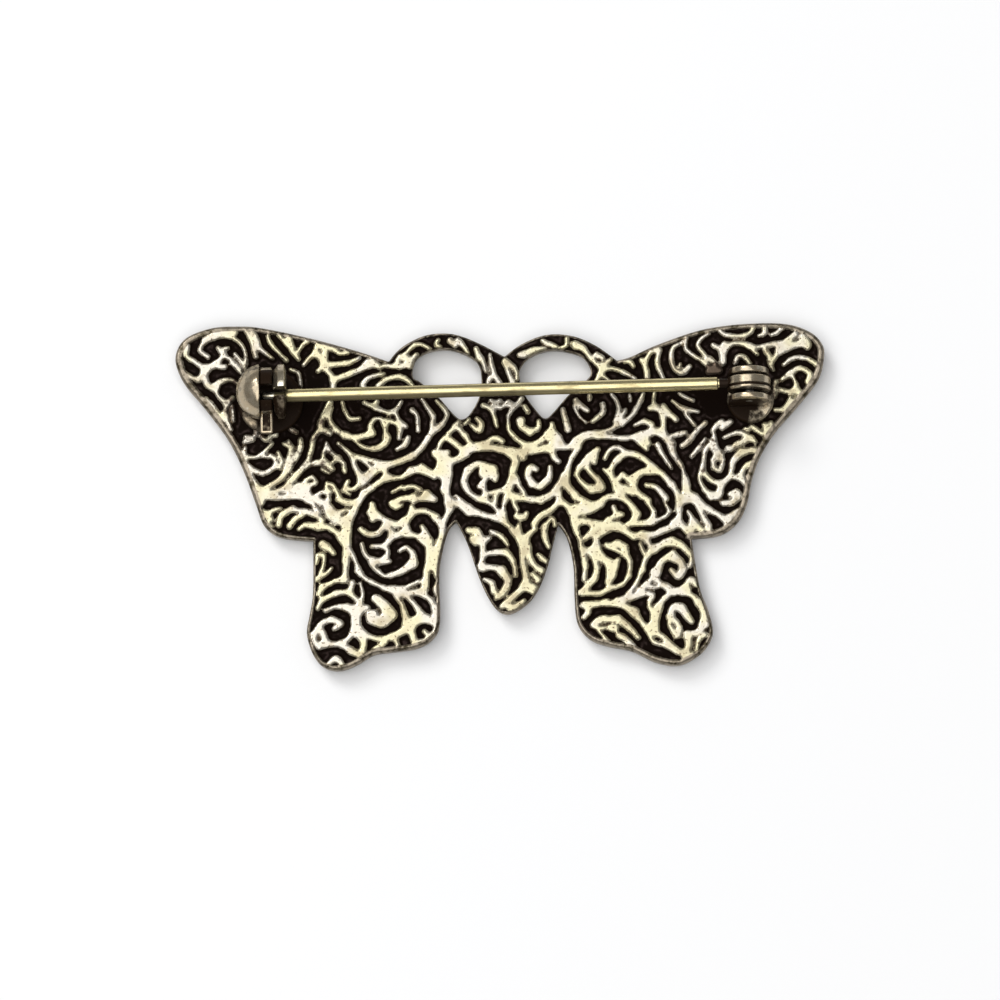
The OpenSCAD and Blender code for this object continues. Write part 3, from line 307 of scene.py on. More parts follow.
    (3, 4, 3, 208, 162, 200, 157, 197, 150, 203, 142, 207, 136), (4, 4, 3, 212, 151, 219, 147),
    (3, 3, 2, 203, 134, 209, 127), (3, 3, 2, 209, 138, 215, 132), (2, 3, 2, 128, 101, 129, 95),
    (4, 5, 3, 121, 71, 130, 80, 137, 91, 142, 102), (3, 3, 4, 153, 102, 152, 94, 155, 88),
    (5, 5, 5, 149, 87, 156, 87, 161, 80, 162, 68), (4, 5, 6, 162, 90, 168, 82, 174, 76),
    (2, 3, 2, 178, 102, 185, 98, 192, 95), (2, 4, 3, 171, 95, 178, 89, 186, 86, 197, 84),
    (3, 5, 5, 133, 70, 142, 74, 150, 71),
    # right wing tip
    (3, 4, 4, 219, 165, 226, 161, 240, 160, 249, 163, 253, 169),
    (4, 4, 3, 264, 169, 264, 163, 258, 160), (4, 4, 3, 283, 169, 277, 164, 271, 161),
    (5, 5, 3, 295, 162, 289, 157, 282, 153, 272, 152),
    (4, 4, 4, 223, 145, 229, 151, 238, 153, 248, 150), (5, 4, 3, 248, 150, 256, 142),
    (3, 3, 4, 248, 150, 258, 149, 266, 151, 277, 152),
    (4, 5, 3, 265, 145, 269, 139, 269, 133, 272, 126), (4, 3, 3, 278, 150, 277, 143, 271, 133),
    (7, 7, 5, 279, 145, 288, 149, 298, 152, 308, 151), (6, 6, 5, 302, 159, 306, 155, 307, 149),
    (3, 4, 4, 283, 131, 293, 138, 303, 138, 311, 135, 319, 128),
    (4, 5, 5, 281, 116, 289, 122, 297, 127, 304, 126, 309, 121, 307, 114),
    (3, 4, 6, 292, 119, 295, 112, 295, 106),
    (4, 5, 3, 279, 106, 288, 104, 296, 105, 302, 103, 308, 107),
    (4, 5, 5, 275, 114, 273, 108, 273, 99), (4, 4, 3, 274, 86, 282, 87, 290, 98),
    (3, 3, 3, 284, 82, 288, 90, 301, 101), (4, 4, 4, 234, 133, 237, 139, 243, 139, 249, 132),
    (8, 7, 5, 224, 150, 222, 143, 222, 133),
    # right wing
    (5, 5, 4, 181, 50, 187, 54, 195, 64, 204, 73), (4, 4, 2, 190, 39, 196, 46, 204, 57),
    (3, 5, 5, 211, 64, 215, 70, 220, 74), (4, 5, 5, 221, 67, 229, 74),
    (3, 8, 7, 213, 60, 213, 48, 218, 40), (7, 5, 3, 217, 41, 222, 36),
    (3, 4, 3, 212, 56, 204, 45, 202, 31), (3, 5, 5, 201, 31, 203, 22, 211, 14, 220, 12),
    (6, 6, 4, 217, 39, 212, 35, 212, 29), (4, 5, 4, 213, 27, 218, 25, 221, 31),
    (3, 4, 7, 200, 28, 198, 16, 203, 6, 210, 0), (8, 8, 5, 210, -1, 217, 1, 220, 11),
    (5, 5, 5, 221, 12, 229, 18, 238, 18), (5, 5, 5, 238, 18, 245, 10),
    (5, 6, 6, 229, 20, 232, 34, 240, 43), (5, 5, 5, 240, 43, 250, 45, 260, 44),
    (5, 5, 4, 239, 20, 244, 29, 254, 34), (3, 5, 6, 259, 45, 264, 55, 269, 64),
    (4, 5, 5, 263, 71, 267, 63), (5, 6, 6, 270, 72, 269, 63), (4, 7, 6, 228, 1, 235, 3, 236, -2),
    (6, 5, 5, 236, -2, 231, -7, 221, -8), (6, 6, 5, 227, 47, 231, 48), (5, 5, 4, 235, 51, 249, 57),
    (3, 4, 3, 223, 58, 236, 63, 246, 60, 254, 54), (3, 4, 3, 250, 70, 260, 62),
    (3, 3, 2, 244, 67, 248, 66), (3, 3, 3, 184, 82, 193, 71), (3, 7, 8, 182, 24, 184, 14, 185, 2),
    (6, 11, 8, 179, -7, 188, -2, 194, -4), (7, 6, 6, 192, -2, 206, -13, 223, -23),
    (4, 5, 6, 194, -6, 200, -19, 207, -30), (4, 4, 5, 206, -33, 212, -37, 224, -33),
    (6, 5, 3, 224, -24, 231, -19, 239, -14), (5, 6, 5, 227, -23, 226, -33),
    (3, 5, 5, 186, -16, 193, -27, 200, -35), (7, 7, 5, 191, -27, 190, -36),
    (5, 5, 4, 183, -33, 185, -37), (6, 5, 6, 177, -13, 177, -21, 172, -27),
    (5, 6, 4, 177, -26, 182, -33), (6, 6, 6, 176, -29, 164, -34, 152, -39, 140, -39),
    (2, 3, 3, 163, -8, 168, -16), (3, 4, 5, 168, -16, 162, -22, 149, -27),
    (5, 5, 3, 150, -27, 128, -29), (3, 5, 5, 145, -7, 152, -17, 149, -27),
    (6, 6, 5, 97, -9, 106, -2, 120, -1), (5, 6, 6, 120, -1, 130, -11, 135, -19),
    (6, 6, 4, 135, -18, 131, -26, 126, -29), (6, 7, 6, 62, 18, 67, 8, 74, -1),
    (6, 6, 8, 74, -1, 84, -7, 90, -11), (12, 12, 8, 74, -15, 86, -13, 98, -9),
    (5, 5, 6, 77, 48, 70, 37, 66, 26, 64, 16), (3, 4, 3, 103, 37, 108, 45, 115, 48, 124, 44),
    (5, 6, 6, 152, 28, 140, 38, 127, 42, 116, 36), (6, 5, 6, 116, 36, 109, 25, 112, 13, 118, 7),
    (6, 6, 6, 150, 29, 160, 22, 170, 11), (5, 5, 6, 170, 11, 176, 1, 177, -14),
    (3, 4, 4, 102, 26, 109, 21), (8, 6, 6, 131, 16, 140, 23, 154, 24),
    (7, 6, 5, 131, 16, 133, 6, 139, 0, 147, -5), (4, 5, 6, 145, 10, 154, 8, 164, -3),
    (4, 6, 4, 117, 16, 121, 20, 126, 16), (8, 8, 6, 115, 7, 124, 6, 131, 3),
    (5, 5, 4, 96, 46, 87, 39, 78, 28), (4, 4, 5, 78, 28, 75, 20, 83, 10, 90, 6),
    (8, 9, 5, 90, 6, 99, 8, 96, 17), (4, 5, 4, 94, 44, 93, 33), (4, 5, 4, 86, 36, 86, 27, 93, 19),
    (4, 5, 8, 119, 57, 130, 58, 141, 60), (8, 8, 8, 141, 60, 152, 64, 161, 62),
    (8, 6, 4, 136, 57, 145, 46), (5, 6, 4, 142, 58, 147, 52), (7, 6, 6, 160, 63, 170, 51),
    (7, 6, 4, 170, 52, 171, 43, 180, 29), (5, 5, 2, 156, 50, 160, 42, 170, 27),
    (4, 5, 4, 171, 60, 184, 63),
    # right tail
    (7, 6, 8, 74, -28, 84, -26, 94, -30), (9, 8, 8, 94, -30, 106, -30, 118, -31),
    (8, 6, 6, 116, -31, 132, -41), (6, 6, 4, 132, -41, 142, -41, 149, -52),
    (5, 6, 5, 94, -33, 84, -43), (6, 6, 6, 106, -34, 95, -42, 94, -50),
    (6, 6, 5, 94, -50, 100, -60, 112, -68), (4, 5, 5, 116, -64, 113, -73),
    (4, 5, 6, 79, -50, 84, -54, 93, -54), (4, 6, 4, 80, -54, 83, -70, 82, -84),
    (5, 6, 5, 89, -57, 95, -72, 92, -84), (5, 6, 6, 92, -84, 80, -97),
    (5, 5, 4, 98, -62, 106, -70, 106, -88), (4, 4, 4, 113, -73, 112, -80, 106, -88),
    (5, 5, 4, 80, -97, 97, -98, 107, -93), (4, 4, 4, 107, -93, 120, -89, 127, -80),
    (4, 5, 5, 127, -80, 128, -67, 123, -58), (6, 7, 6, 123, -58, 123, -52, 116, -48),
    (5, 4, 4, 116, -48, 105, -49), (4, 4, 4, 106, -51, 117, -56),
    (5, 5, 5, 112, -12, 115, -18, 120, -19), (5, 4, 4, 106, -24, 118, -19),
    (3, 4, 3, 138, -49, 142, -58), (6, 5, 4, 152, -53, 144, -63, 140, -75),
    (4, 4, 4, 140, -75, 134, -88, 126, -99), (6, 7, 8, 151, -55, 160, -49, 170, -46),
    (8, 7, 6, 170, -47, 178, -49, 187, -57), (6, 4, 3, 191, -60, 188, -71),
    (8, 6, 6, 155, -76, 160, -66, 168, -61), (6, 7, 7, 168, -61, 178, -66, 181, -74),
    (6, 6, 4, 181, -74, 176, -81, 169, -75), (5, 6, 6, 171, -57, 174, -63),
    (8, 5, 6, 152, -78, 156, -86, 165, -92), (6, 8, 8, 165, -92, 174, -96, 185, -94),
    (5, 5, 5, 152, -81, 138, -95), (3, 4, 3, 147, -91, 156, -92),
    (4, 5, 4, 182, -93, 189, -84, 194, -90), (5, 6, 5, 136, -98, 150, -99, 147, -106),
    (6, 6, 5, 116, -105, 130, -102, 140, -98), (5, 7, 5, 81, -109, 90, -109, 104, -107),
    (5, 6, 8, 104, -107, 120, -110, 132, -116), (8, 5, 6, 132, -116, 140, -127, 147, -135),
    (5, 4, 4, 147, -135, 151, -146, 165, -150), (4, 6, 6, 165, -150, 174, -155, 182, -157),
    (6, 6, 4, 84, -110, 86, -116, 82, -122), (5, 6, 5, 147, -111, 151, -118, 152, -130),
    (7, 8, 8, 156, -112, 154, -122, 151, -133), (5, 5, 5, 156, -113, 161, -104, 170, -97),
    (8, 5, 5, 148, -133, 160, -141, 176, -156), (5, 6, 7, 183, -158, 186, -150, 185, -140),
    (6, 6, 8, 185, -138, 194, -137, 201, -129), (8, 6, 6, 201, -129, 201, -118, 196, -107),
    (6, 5, 5, 196, -107, 190, -100, 180, -97), (6, 6, 7, 167, -121, 172, -111, 179, -112),
    (7, 7, 6, 179, -112, 189, -126), (4, 4, 6, 167, -121, 168, -131, 174, -139),
    (5, 5, 6, 170, -122, 177, -131, 175, -139), (4, 7, 6, 91, -129, 99, -124, 116, -123),
    (6, 6, 4, 116, -123, 126, -131, 136, -142), (7, 8, 7, 109, -132, 113, -132),
    (5, 5, 3, 92, -130, 97, -133, 103, -132), (2, 3, 4, 97, -136, 108, -148),
    (6, 6, 4, 117, -140, 123, -143, 133, -152), (3, 4, 5, 194, -153, 197, -144, 203, -139),
    (5, 6, 4, 182, -163, 190, -158),
    # the dull patch beside the hinge
    (5, 8, 5, 207, 124, 213, 126, 219, 125),
)

# Worn edges of the casting: the width of a scroll's rounded shoulder and of the slope at
# its foot, then the heights of that slope and of the rim as shares of the relief
SHOULDER = 0.085 * MM
FOOT = 0.2 * MM
FOOT_HEIGHT = 0.3
RIM_HEIGHT = 0.9
# How far the worn scrolls spread past their charted width, and how far a web reaches
# where two of them meet
SPREAD = 0.062 * MM
WEB = 0.28 * MM
# How far from the outline and the scrolls the chart measures
FAR = 0.7 * MM
# The scrolls' edges waver: how much, over what length and from which seed
WAVER = ((0.04 * MM, 0.6 * MM, 1), (0.03 * MM, 0.3 * MM, 2))
# Turns of the bands of the plate's side, in degrees from its top edge to its front, and
# the distances in millimetres that give the side the rim's metal
SIDE_TURNS = (20, 45, 70, 90)
SIDE_SCROLL = -0.3
SIDE_RIM = 0.4
# Keeps a stretch without length from dividing by zero
TINY = 1e-18

# Tones of the metals besides the ones in the settings
CREAM = (0.575, 0.535, 0.455)
TAN = (0.36, 0.3, 0.19)
DULL_EDGE = (0.18, 0.135, 0.085)
# Dark film on the scrolls, also the colour of the painted shade round the findings
FILM_AND_SHADE = (0.085, 0.062, 0.045)
# Painted highlight along the middle of the ground's bands
CHANNEL_HIGHLIGHT = (0.036, 0.024, 0.021)
STAIN = (0.05, 0.04, 0.022)
WARM_PEWTER = (0.43, 0.35, 0.24)
# Pale polished point of the pin, made bright as a painted highlight where it lies in the catch's shade
NEEDLE_POLISH_AND_GLEAM = (1, 0.93, 0.74)
DULL_BRASS = (0.3, 0.25, 0.13)
STEEL = (0.3, 0.28, 0.25)
DARK_STEEL = (0.135, 0.126, 0.1125)
# Tone of the light from all round
COOL_AIR = (0.97, 0.98, 1, 1)


class PlateSettings(bpy.types.PropertyGroup):
    """Sizes and colours of the cast plate."""

    pitch: bpy.props.FloatProperty(
        name="Grid pitch", description="Distance between the points of the plate's top",
        default=0.107 * MM, min=0.08 * MM, subtype="DISTANCE", unit="LENGTH")
    thickness: bpy.props.FloatProperty(
        name="Thickness", description="From the plain front to the tops of the scrolls",
        default=2 * MM, min=1 * MM, subtype="DISTANCE", unit="LENGTH")
    relief: bpy.props.FloatProperty(
        name="Relief", description="Height of the scrolls over the ground between them",
        default=0.3 * MM, min=0.05 * MM, subtype="DISTANCE", unit="LENGTH")
    edge_radius: bpy.props.FloatProperty(
        name="Edge radius", description="Rounding of the plate's edges",
        default=0.26 * MM, min=0.02 * MM, subtype="DISTANCE", unit="LENGTH")
    front_draft: bpy.props.FloatProperty(
        name="Front draft", description="How far the sides draw in towards the front",
        default=0.4 * MM, min=0, subtype="DISTANCE", unit="LENGTH")
    scroll_colour: bpy.props.FloatVectorProperty(
        name="Scrolls", description="Worn bright metal on the tops of the scrolls",
        default=(0.575, 0.53, 0.35), size=3, min=0, max=1, subtype="COLOR")
    ground_colour: bpy.props.FloatVectorProperty(
        name="Ground", description="Blackened metal between the scrolls",
        default=(0.0045, 0.002, 0.001), size=3, min=0, max=1, subtype="COLOR")
    rim_colour: bpy.props.FloatVectorProperty(
        name="Rim", description="Dull metal of the rounded edges",
        default=(0.27, 0.23, 0.175), size=3, min=0, max=1, subtype="COLOR")


class FindingSettings(bpy.types.PropertyGroup):
    """Sizes and colours of the catch, the hinge and the pin."""

    ball_d: bpy.props.FloatProperty(
        name="Ball", description="Diameter of the ball catch",
        default=4.66 * MM, subtype="DISTANCE", unit="LENGTH")
    lock_gap: bpy.props.FloatProperty(
        name="Lock gap", description="Width of the gap that the lock turns in",
        default=1.1 * MM, subtype="DISTANCE", unit="LENGTH")
    disc_thickness: bpy.props.FloatProperty(
        name="Disc", description="Thickness of the upright disc beside the gap",
        default=1.12 * MM, subtype="DISTANCE", unit="LENGTH")
    slot_width: bpy.props.FloatProperty(
        name="Slot", description="Width of the slot that the pin's point lies in",
        default=0.72 * MM, subtype="DISTANCE", unit="LENGTH")
    lever_reach: bpy.props.FloatProperty(
        name="Lever reach", description="From the turning axis to the lever's end",
        default=3.6 * MM, subtype="DISTANCE", unit="LENGTH")
    catch_pad_d: bpy.props.FloatProperty(
        name="Catch pad", description="Diameter of the catch's base pad",
        default=5.4 * MM, subtype="DISTANCE", unit="LENGTH")
    hinge_pad_d: bpy.props.FloatProperty(
        name="Hinge pad", description="Diameter of the hinge's base pad",
        default=3.9 * MM, subtype="DISTANCE", unit="LENGTH")
    stem_d: bpy.props.FloatProperty(
        name="Stem", description="Diameter of the pin stem's wire",
        default=1.08 * MM, subtype="DISTANCE", unit="LENGTH")
    head_d: bpy.props.FloatProperty(
        name="Pin head", description="Diameter of the pin's round head",
        default=3.6 * MM, subtype="DISTANCE", unit="LENGTH")
    rivet_d: bpy.props.FloatProperty(
        name="Rivet", description="Diameter of the hinge's rivet",
        default=0.8 * MM, subtype="DISTANCE", unit="LENGTH")
    pewter: bpy.props.FloatVectorProperty(
        name="Pewter", description="Grey-gold metal of the catch and the hinge",
        default=(0.43, 0.37, 0.27), size=3, min=0, max=1, subtype="COLOR")
    polish: bpy.props.FloatVectorProperty(
        name="Polish", description="Bright metal where hands have worn the findings",
        default=(0.85, 0.8, 0.64), size=3, min=0, max=1, subtype="COLOR")
    # The same dark colour also paints shade: on the wire inside the catch and along its underside, on
    # the disc's lower part and on the lock's wheel
    tarnish_and_shade: bpy.props.FloatVectorProperty(
        name="Tarnish", description="Dark film in the hollows of the findings",
        default=(0.016, 0.009, 0.005), size=3, min=0, max=1, subtype="COLOR")
    brass: bpy.props.FloatVectorProperty(
        name="Brass", description="Yellow metal of the pin stem",
        default=(0.64, 0.55, 0.3), size=3, min=0, max=1, subtype="COLOR")


class StudioSettings(bpy.types.PropertyGroup):
    """The floor, the lights and the camera."""

    floor_colour: bpy.props.FloatVectorProperty(
        name="Floor", description="Colour of the pale floor",
        default=(0.875, 0.875, 0.875), size=3, min=0, max=1, subtype="COLOR")
    view_width: bpy.props.FloatProperty(
        name="View width", description="Width of the floor that the picture takes in",
        default=82.95 * MM, subtype="DISTANCE", unit="LENGTH")
    lens: bpy.props.FloatProperty(
        name="Lens", description="Focal length in millimetres", default=300)
    tilt: bpy.props.FloatProperty(
        name="Tilt", description="How far the camera leans from straight above",
        default=math.radians(11.8), subtype="ANGLE")
    overhead: bpy.props.FloatProperty(
        name="Overhead light", description="Power of the large soft light in watts",
        default=15)
    side: bpy.props.FloatProperty(
        name="Side light", description="Power of the light from the upper left in watts",
        default=4)
    ambient: bpy.props.FloatProperty(
        name="Ambient", description="Strength of the light from all round", default=0.26)


class Value:
    """A shader socket that can be reckoned with: each operation adds a Math node."""

    def __init__(self, shader, socket):
        self.shader = shader
        self.socket = socket

    def __add__(self, other):
        return self.shader.math("ADD", self, other)

    def __sub__(self, other):
        return self.shader.math("SUBTRACT", self, other)

    def __rsub__(self, other):
        return self.shader.math("SUBTRACT", other, self)

    def __neg__(self):
        return 0 - self

    def __mul__(self, other):
        return self.shader.math("MULTIPLY", self, other)

    def __truediv__(self, other):
        return self.shader.math("DIVIDE", self, other)

    def __rtruediv__(self, other):
        return self.shader.math("DIVIDE", other, self)

    __radd__ = __add__
    __rmul__ = __mul__

    def root(self):
        """The square root."""
        return self.shader.math("POWER", self, 0.5)

    def or_more(self, other):
        """The larger of the two."""
        return self.shader.math("MAXIMUM", self, other)

    def step(self, low, high):
        """0 below low, 1 above high and a smooth rise between them."""
        sockets = {"Value": self, "From Min": low, "From Max": high}
        return self.shader.node(
            "ShaderNodeMapRange", {"interpolation_type": "SMOOTHSTEP"}, sockets)


class Shader:
    """A node material whose nodes all come from one method."""

    def __init__(self, name):
        self.material = bpy.data.materials.new(name)
        self.material.use_nodes = True
        self.tree = self.material.node_tree
        self.tree.nodes.clear()

    def node(self, kind, settings=None, sockets=None, output=0):
        """Adds a node, sets its settings, then fills or links its sockets by name."""
        node = self.tree.nodes.new(kind)
        for key, value in (settings or {}).items():
            setattr(node, key, value)
        for key, value in (sockets or {}).items():
            if isinstance(value, Value):
                self.tree.links.new(value.socket, node.inputs[key])
            else:
                node.inputs[key].default_value = value
        return Value(self, node.outputs[output]) if node.outputs else node

    def math(self, operation, first, second):
        return self.node("ShaderNodeMath", {"operation": operation}, {0: first, 1: second})

    def attribute(self, name):
        """A number that the mesh holds at each point."""
        return self.node("ShaderNodeAttribute", {"attribute_name": name}, output="Fac")

    def place(self, origin=(0, 0, 0), turn=0, scale=(1, 1, 1)):
        """Object coordinates counted from a point, turned with the pin."""
        found = self.node("ShaderNodeTexCoord", output="Object")
        sockets = {"Vector": found, "Location": origin, "Rotation": (0, 0, turn), "Scale": scale}
        return self.node("ShaderNodeMapping", {"vector_type": "TEXTURE"}, sockets)

    def parts(self, place, axes):
        """The coordinates of a place, a number for each of the axes."""
        return [self.node("ShaderNodeSeparateXYZ", None, {"Vector": place}, axis) for axis in axes]

    def noise(self, size, detail=2, roughness=0.5, vector=None):
        """Soft cloudy noise from 0 to 1 whose patches are about size across."""
        vector = vector or self.place()
        sockets = {"Vector": vector, "Scale": 1 / size, "Detail": detail, "Roughness": roughness}
        return self.node("ShaderNodeTexNoise", None, sockets)

    def patches(self, size, low, high, **kind):
        """Noise that is 0 up to low and 1 from high on, both counted from its middle."""
        return (self.noise(size, **kind) - 0.5).step(low, high)

    def near(self, spot, reach):
        """From 1 round a spot over the plate to 0 at the reach from it."""
        settings = {"operation": "DISTANCE"}
        sockets = {0: self.place(), 1: tuple(spot)}
        far = self.node("ShaderNodeVectorMath", settings, sockets, "Value")
        return 1 - far.step(reach * 0.7, reach * 1.2)

    def mix(self, share, first, second):
        """From the first colour to the second as share goes from 0 to 1."""
        def tone(value):
            return value if isinstance(value, Value) else (*value, 1)

        sockets = {0: share, 6: tone(first), 7: tone(second)}
        return self.node("ShaderNodeMix", {"data_type": "RGBA"}, sockets, output=2)

    def bump(self, height, distance, strength):
        sockets = {"Height": height, "Distance": distance, "Strength": strength}
        return self.node("ShaderNodeBump", None, sockets)

    def surface(self, **sockets):
        """Ends the material in a Principled shader with these sockets."""
        named = {key.replace("_", " "): value for key, value in sockets.items()}
        if not isinstance(named["Base Color"], Value):
            named["Base Color"] = (*named["Base Color"], 1)
        shaded = self.node("ShaderNodeBsdfPrincipled", None, named)
        self.node("ShaderNodeOutputMaterial", None, {"Surface": shaded})
        return self.material


def cast_metal(settings):
    """Bright worn scrolls on a blackened ground, with a dull rounded rim."""
    shader = Shader("antiqued_cast_metal")
    depth = shader.attribute("scroll_mm")
    rim = shader.attribute("rim_mm")
    grain = shader.noise(0.12 * MM, detail=3)
    cloud = shader.noise(2.4 * MM, detail=3, roughness=0.6)
    fine = shader.noise(0.5 * MM, detail=3, roughness=0.6)

    # Where the scrolls are bare and where they are bright, by the millimetres from their
    # ragged edge
    ragged = depth + (grain - 0.5) * 0.08 + (fine - 0.5) * 0.08
    bare = ragged.step(-0.02, 0.03)
    bright = (ragged + (cloud - 0.5) * 0.25 + (fine - 0.5) * 0.2).step(-0.03, 0.08)
    pit = shader.patches(0.22 * MM, 0.12, 0.18)

    # Their yellow, cream and tan tops, with a dark film in random patches and painted shade in the
    # darkened spots round the findings
    yellow = shader.patches(3.5 * MM, -0.1, 0.08)
    tan = (cloud - 0.5).step(0.01, 0.17) * 0.7
    top = shader.mix(tan, shader.mix(yellow, CREAM, tuple(settings.scroll_colour)), TAN)
    # Painted shade round the catch and the hinge, where the findings shade the plate, and darker
    # patches on the wings; random dark film adds to it
    dull = 0
    for spot, reach, share in SHADED_AND_DIM_SPOTS:
        dull = shader.near(spot, reach) * share + dull
    film = (dull + (fine - 0.5) * 1.8).step(0.3, 0.8)
    scroll = shader.mix(bright * (1 - pit), DULL_EDGE, top)
    scroll = shader.mix(film, scroll, FILM_AND_SHADE)

    # The ground, with a faint painted highlight along the middle of its bands, broken into streaks
    middle = (-depth).step(0.2, 0.28) * (depth + 0.42).step(-0.02, 0.08)
    highlight_patches = shader.patches(0.6 * MM, -0.08, 0.2, detail=4, roughness=0.65)
    ground = shader.mix(highlight_patches * middle, tuple(settings.ground_colour), CHANNEL_HIGHLIGHT)

    # The rim and the side, with dark stains
    edge = (rim + (grain - 0.5) * 0.08).step(-0.03, 0.06)
    stain = shader.patches(0.8 * MM, -0.06, 0.16, detail=4, roughness=0.65)
    rim_metal = shader.mix(stain, tuple(settings.rim_colour), STAIN)

    metal = bare * (1 - edge) + edge
    return shader.surface(
        Base_Color=shader.mix(edge, shader.mix(bare, ground, scroll), rim_metal),
        Metallic=metal * 0.85,
        Roughness=0.5 - metal * 0.14 + (grain - 0.5) * 0.15,
        Specular_IOR_Level=0.02,
        Normal=shader.bump(grain * 0.4 + fine, 0.035 * MM, 0.5),
    )


def worn_metal(settings, name, origin, wear):
    """Grey-gold plating that shows where the wear is 1, bright where it is more, and a dark film where
    it is 0. The wear follows from the place over the pin's line; on the disc it also paints light on
    top and shade below, and on the lock's wheel painted shade."""
    shader = Shader(name)
    place = shader.place(tuple(origin), SKEW)
    x, y, z = shader.parts(place, "XYZ")
    blotch = shader.noise(0.9 * MM, detail=4, roughness=0.65, vector=place)
    grain = shader.noise(0.1 * MM, detail=3)
    level = wear(x, y, z) + (blotch - 0.5) * 2
    shown = level.step(0.15, 0.85)
    shine = level.step(1.05, 1.4)
    warm = shader.mix(blotch.step(0.4, 0.6), tuple(settings.pewter), WARM_PEWTER)
    bright = shader.mix(shine, warm, tuple(settings.polish))
    return shader.surface(
        Base_Color=shader.mix(shown, tuple(settings.tarnish_and_shade), bright),
        Metallic=shown * 0.9,
        Roughness=0.4 - shown * 0.2 + (grain - 0.5) * 0.1,
        Specular_IOR_Level=0.03,
        Normal=shader.bump(grain * 0.4 + blotch, 0.03 * MM, 0.4),
    )


def pad_wear(radius, band, most, sides):
    """The wear of a pad: a band round its rim on the given sides, as (x, y)
    directions."""
    def wear(x, y, z):
        out = (x * x + y * y).root()
        level = 0
        for side_x, side_y in sides:
            towards = (x * side_x + y * side_y) / out
            level = towards.step(0.7, 0.95) + level
        return out.step(radius - band, radius - band / 2) * level * most - 0.1
    return wear


def dome_wear(x, y, z):
    """Brighter towards the top, a little darker on the side of the feelers."""
    return z.step(-1.6 * MM, 0.2 * MM) * 0.7 - y.step(0.6 * MM, 2 * MM) * 0.3 + 0.1


def disc_light_and_shade(x, y, z):
    """Painted light and shade: bright on top from the slot towards the feelers, where the light falls,
    and painted shade below.
    """
    top = z.step(0.2 * MM, 1.4 * MM) * y.step(-0.9 * MM, -0.2 * MM) * 0.75
    return top + z.step(1.4 * MM, 2.2 * MM) * 0.25 + 0.15


def lock_wear_and_shade(x, y, z):
    """Bright on the lever's border and along the wheel's upper edge, dark elsewhere: patina in the
    lever's dish, and painted shade on the wheel, which stands in the shadow of the gap.
    """
    lever = (-y).step(1.72 * MM, 1.9 * MM)
    dish = (0.35 * MM - z).step(0.04 * MM, 0.1 * MM)
    bar = y.step(1.5 * MM, 1.65 * MM)
    return lever * (1 - dish * 0.75) + bar * 0.8 - 0.15


def cheek_wear(x, y, z):
    """Brighter towards the top and the wing's tip."""
    return z.step(0.6 * MM, 1.3 * MM) * 0.85 + x.step(0.5 * MM, 1.4 * MM) * 0.4


def head_wear(x, y, z):
    """Brighter towards the top and the wing's tip, dark in the groove."""
    groove = y.step(-0.34 * MM, -0.26 * MM) * (1 - y.step(-0.16 * MM, -0.08 * MM))
    return z.step(0.6 * MM, 1.4 * MM) * 0.85 + x.step(0.5 * MM, 1.5 * MM) * 0.4 - groove


def brass_wire(settings):
    """Polished yellow wire with drawn streaks along it, with painted shadow inside the catch, painted
    shade along its underside and darker at the neck."""
    shader = Shader("polished_brass_wire")
    x, y = shader.parts(shader.place(tuple(BALL), SKEW), "XY")
    across = y + POINT_DROP - x * ((POINT_DROP + WIRE_LIFT) / REACH)
    # Painted shade along the wire's underside, over the part nearer the catch
    under = (-across).step(0.1 * MM, 0.3 * MM) * (1 - x.step(20 * MM, 30 * MM))
    along = shader.place(tuple(RIVET), SKEW, (8, 1, 1))
    streak = shader.noise(0.16 * MM, detail=3, vector=along)
    soft = shader.noise(1.6 * MM)
    dull = (streak * 0.5 + soft * 0.5 - 0.5).step(-0.02, 0.14)
    drawn = shader.mix(dull * 0.6, tuple(settings.brass), DULL_BRASS)
    past_needle = x.step(0.8 * MM, 0.9 * MM)
    # Painted shadow on the wire where it lies inside the catch
    shadow_in_catch = x.step(0.75 * MM, 0.85 * MM) * (1 - x.step(1.8 * MM, 2 * MM))
    neck = x.step(REACH - 2.5 * MM, REACH - 2.45 * MM)
    # The painted shadow in the catch, the darker neck and the painted shade along the underside, all
    # in the tarnish colour
    dark = (shadow_in_catch * 0.75).or_more(neck).or_more(under * 0.7)
    # The point is pale polished metal, brightened as a painted highlight in the catch's shade
    colour = shader.mix(past_needle, NEEDLE_POLISH_AND_GLEAM, drawn)
    return shader.surface(
        Base_Color=shader.mix(dark, colour, tuple(settings.tarnish_and_shade)),
        Metallic=1 - dark * 0.6,
        Roughness=0.34 - past_needle * 0.12 + dull * 0.14 + dark * 0.2,
        Specular_IOR_Level=0.1,
        Normal=shader.bump(streak, 0.01 * MM, 0.25),
    )


def rivet_metal():
    """Plain dull steel."""
    shader = Shader("rivet_metal")
    grain = shader.noise(0.15 * MM, detail=3)
    return shader.surface(
        Base_Color=shader.mix(grain.step(0.35, 0.75), STEEL, DARK_STEEL),
        Metallic=0.9,
        Roughness=(grain - 0.5) * 0.15 + 0.38,
        Normal=shader.bump(grain, 0.015 * MM, 0.3),
    )


def smooth_line(points, parts, closed=False):
    """Points along the smooth curve through the given ones, parts to each stretch."""
    p = np.reshape(points, (-1, 2)).astype(float)
    count = len(p)
    share = (np.arange(parts) / parts)[:, None]
    line = []
    for i in range(count if closed else count - 1):
        near = [i - 1, i, i + 1, i + 2]
        a, b, c, d = (p[k % count] if closed else p[min(max(k, 0), count - 1)] for k in near)
        line.append(0.5 * (2 * b + (c - a) * share + (2 * a - 5 * b + 4 * c - d) * share**2
                           + (3 * b - a - 3 * c + d) * share**3))
    if not closed:
        line.append(p[-1:])
    return np.vstack(line)


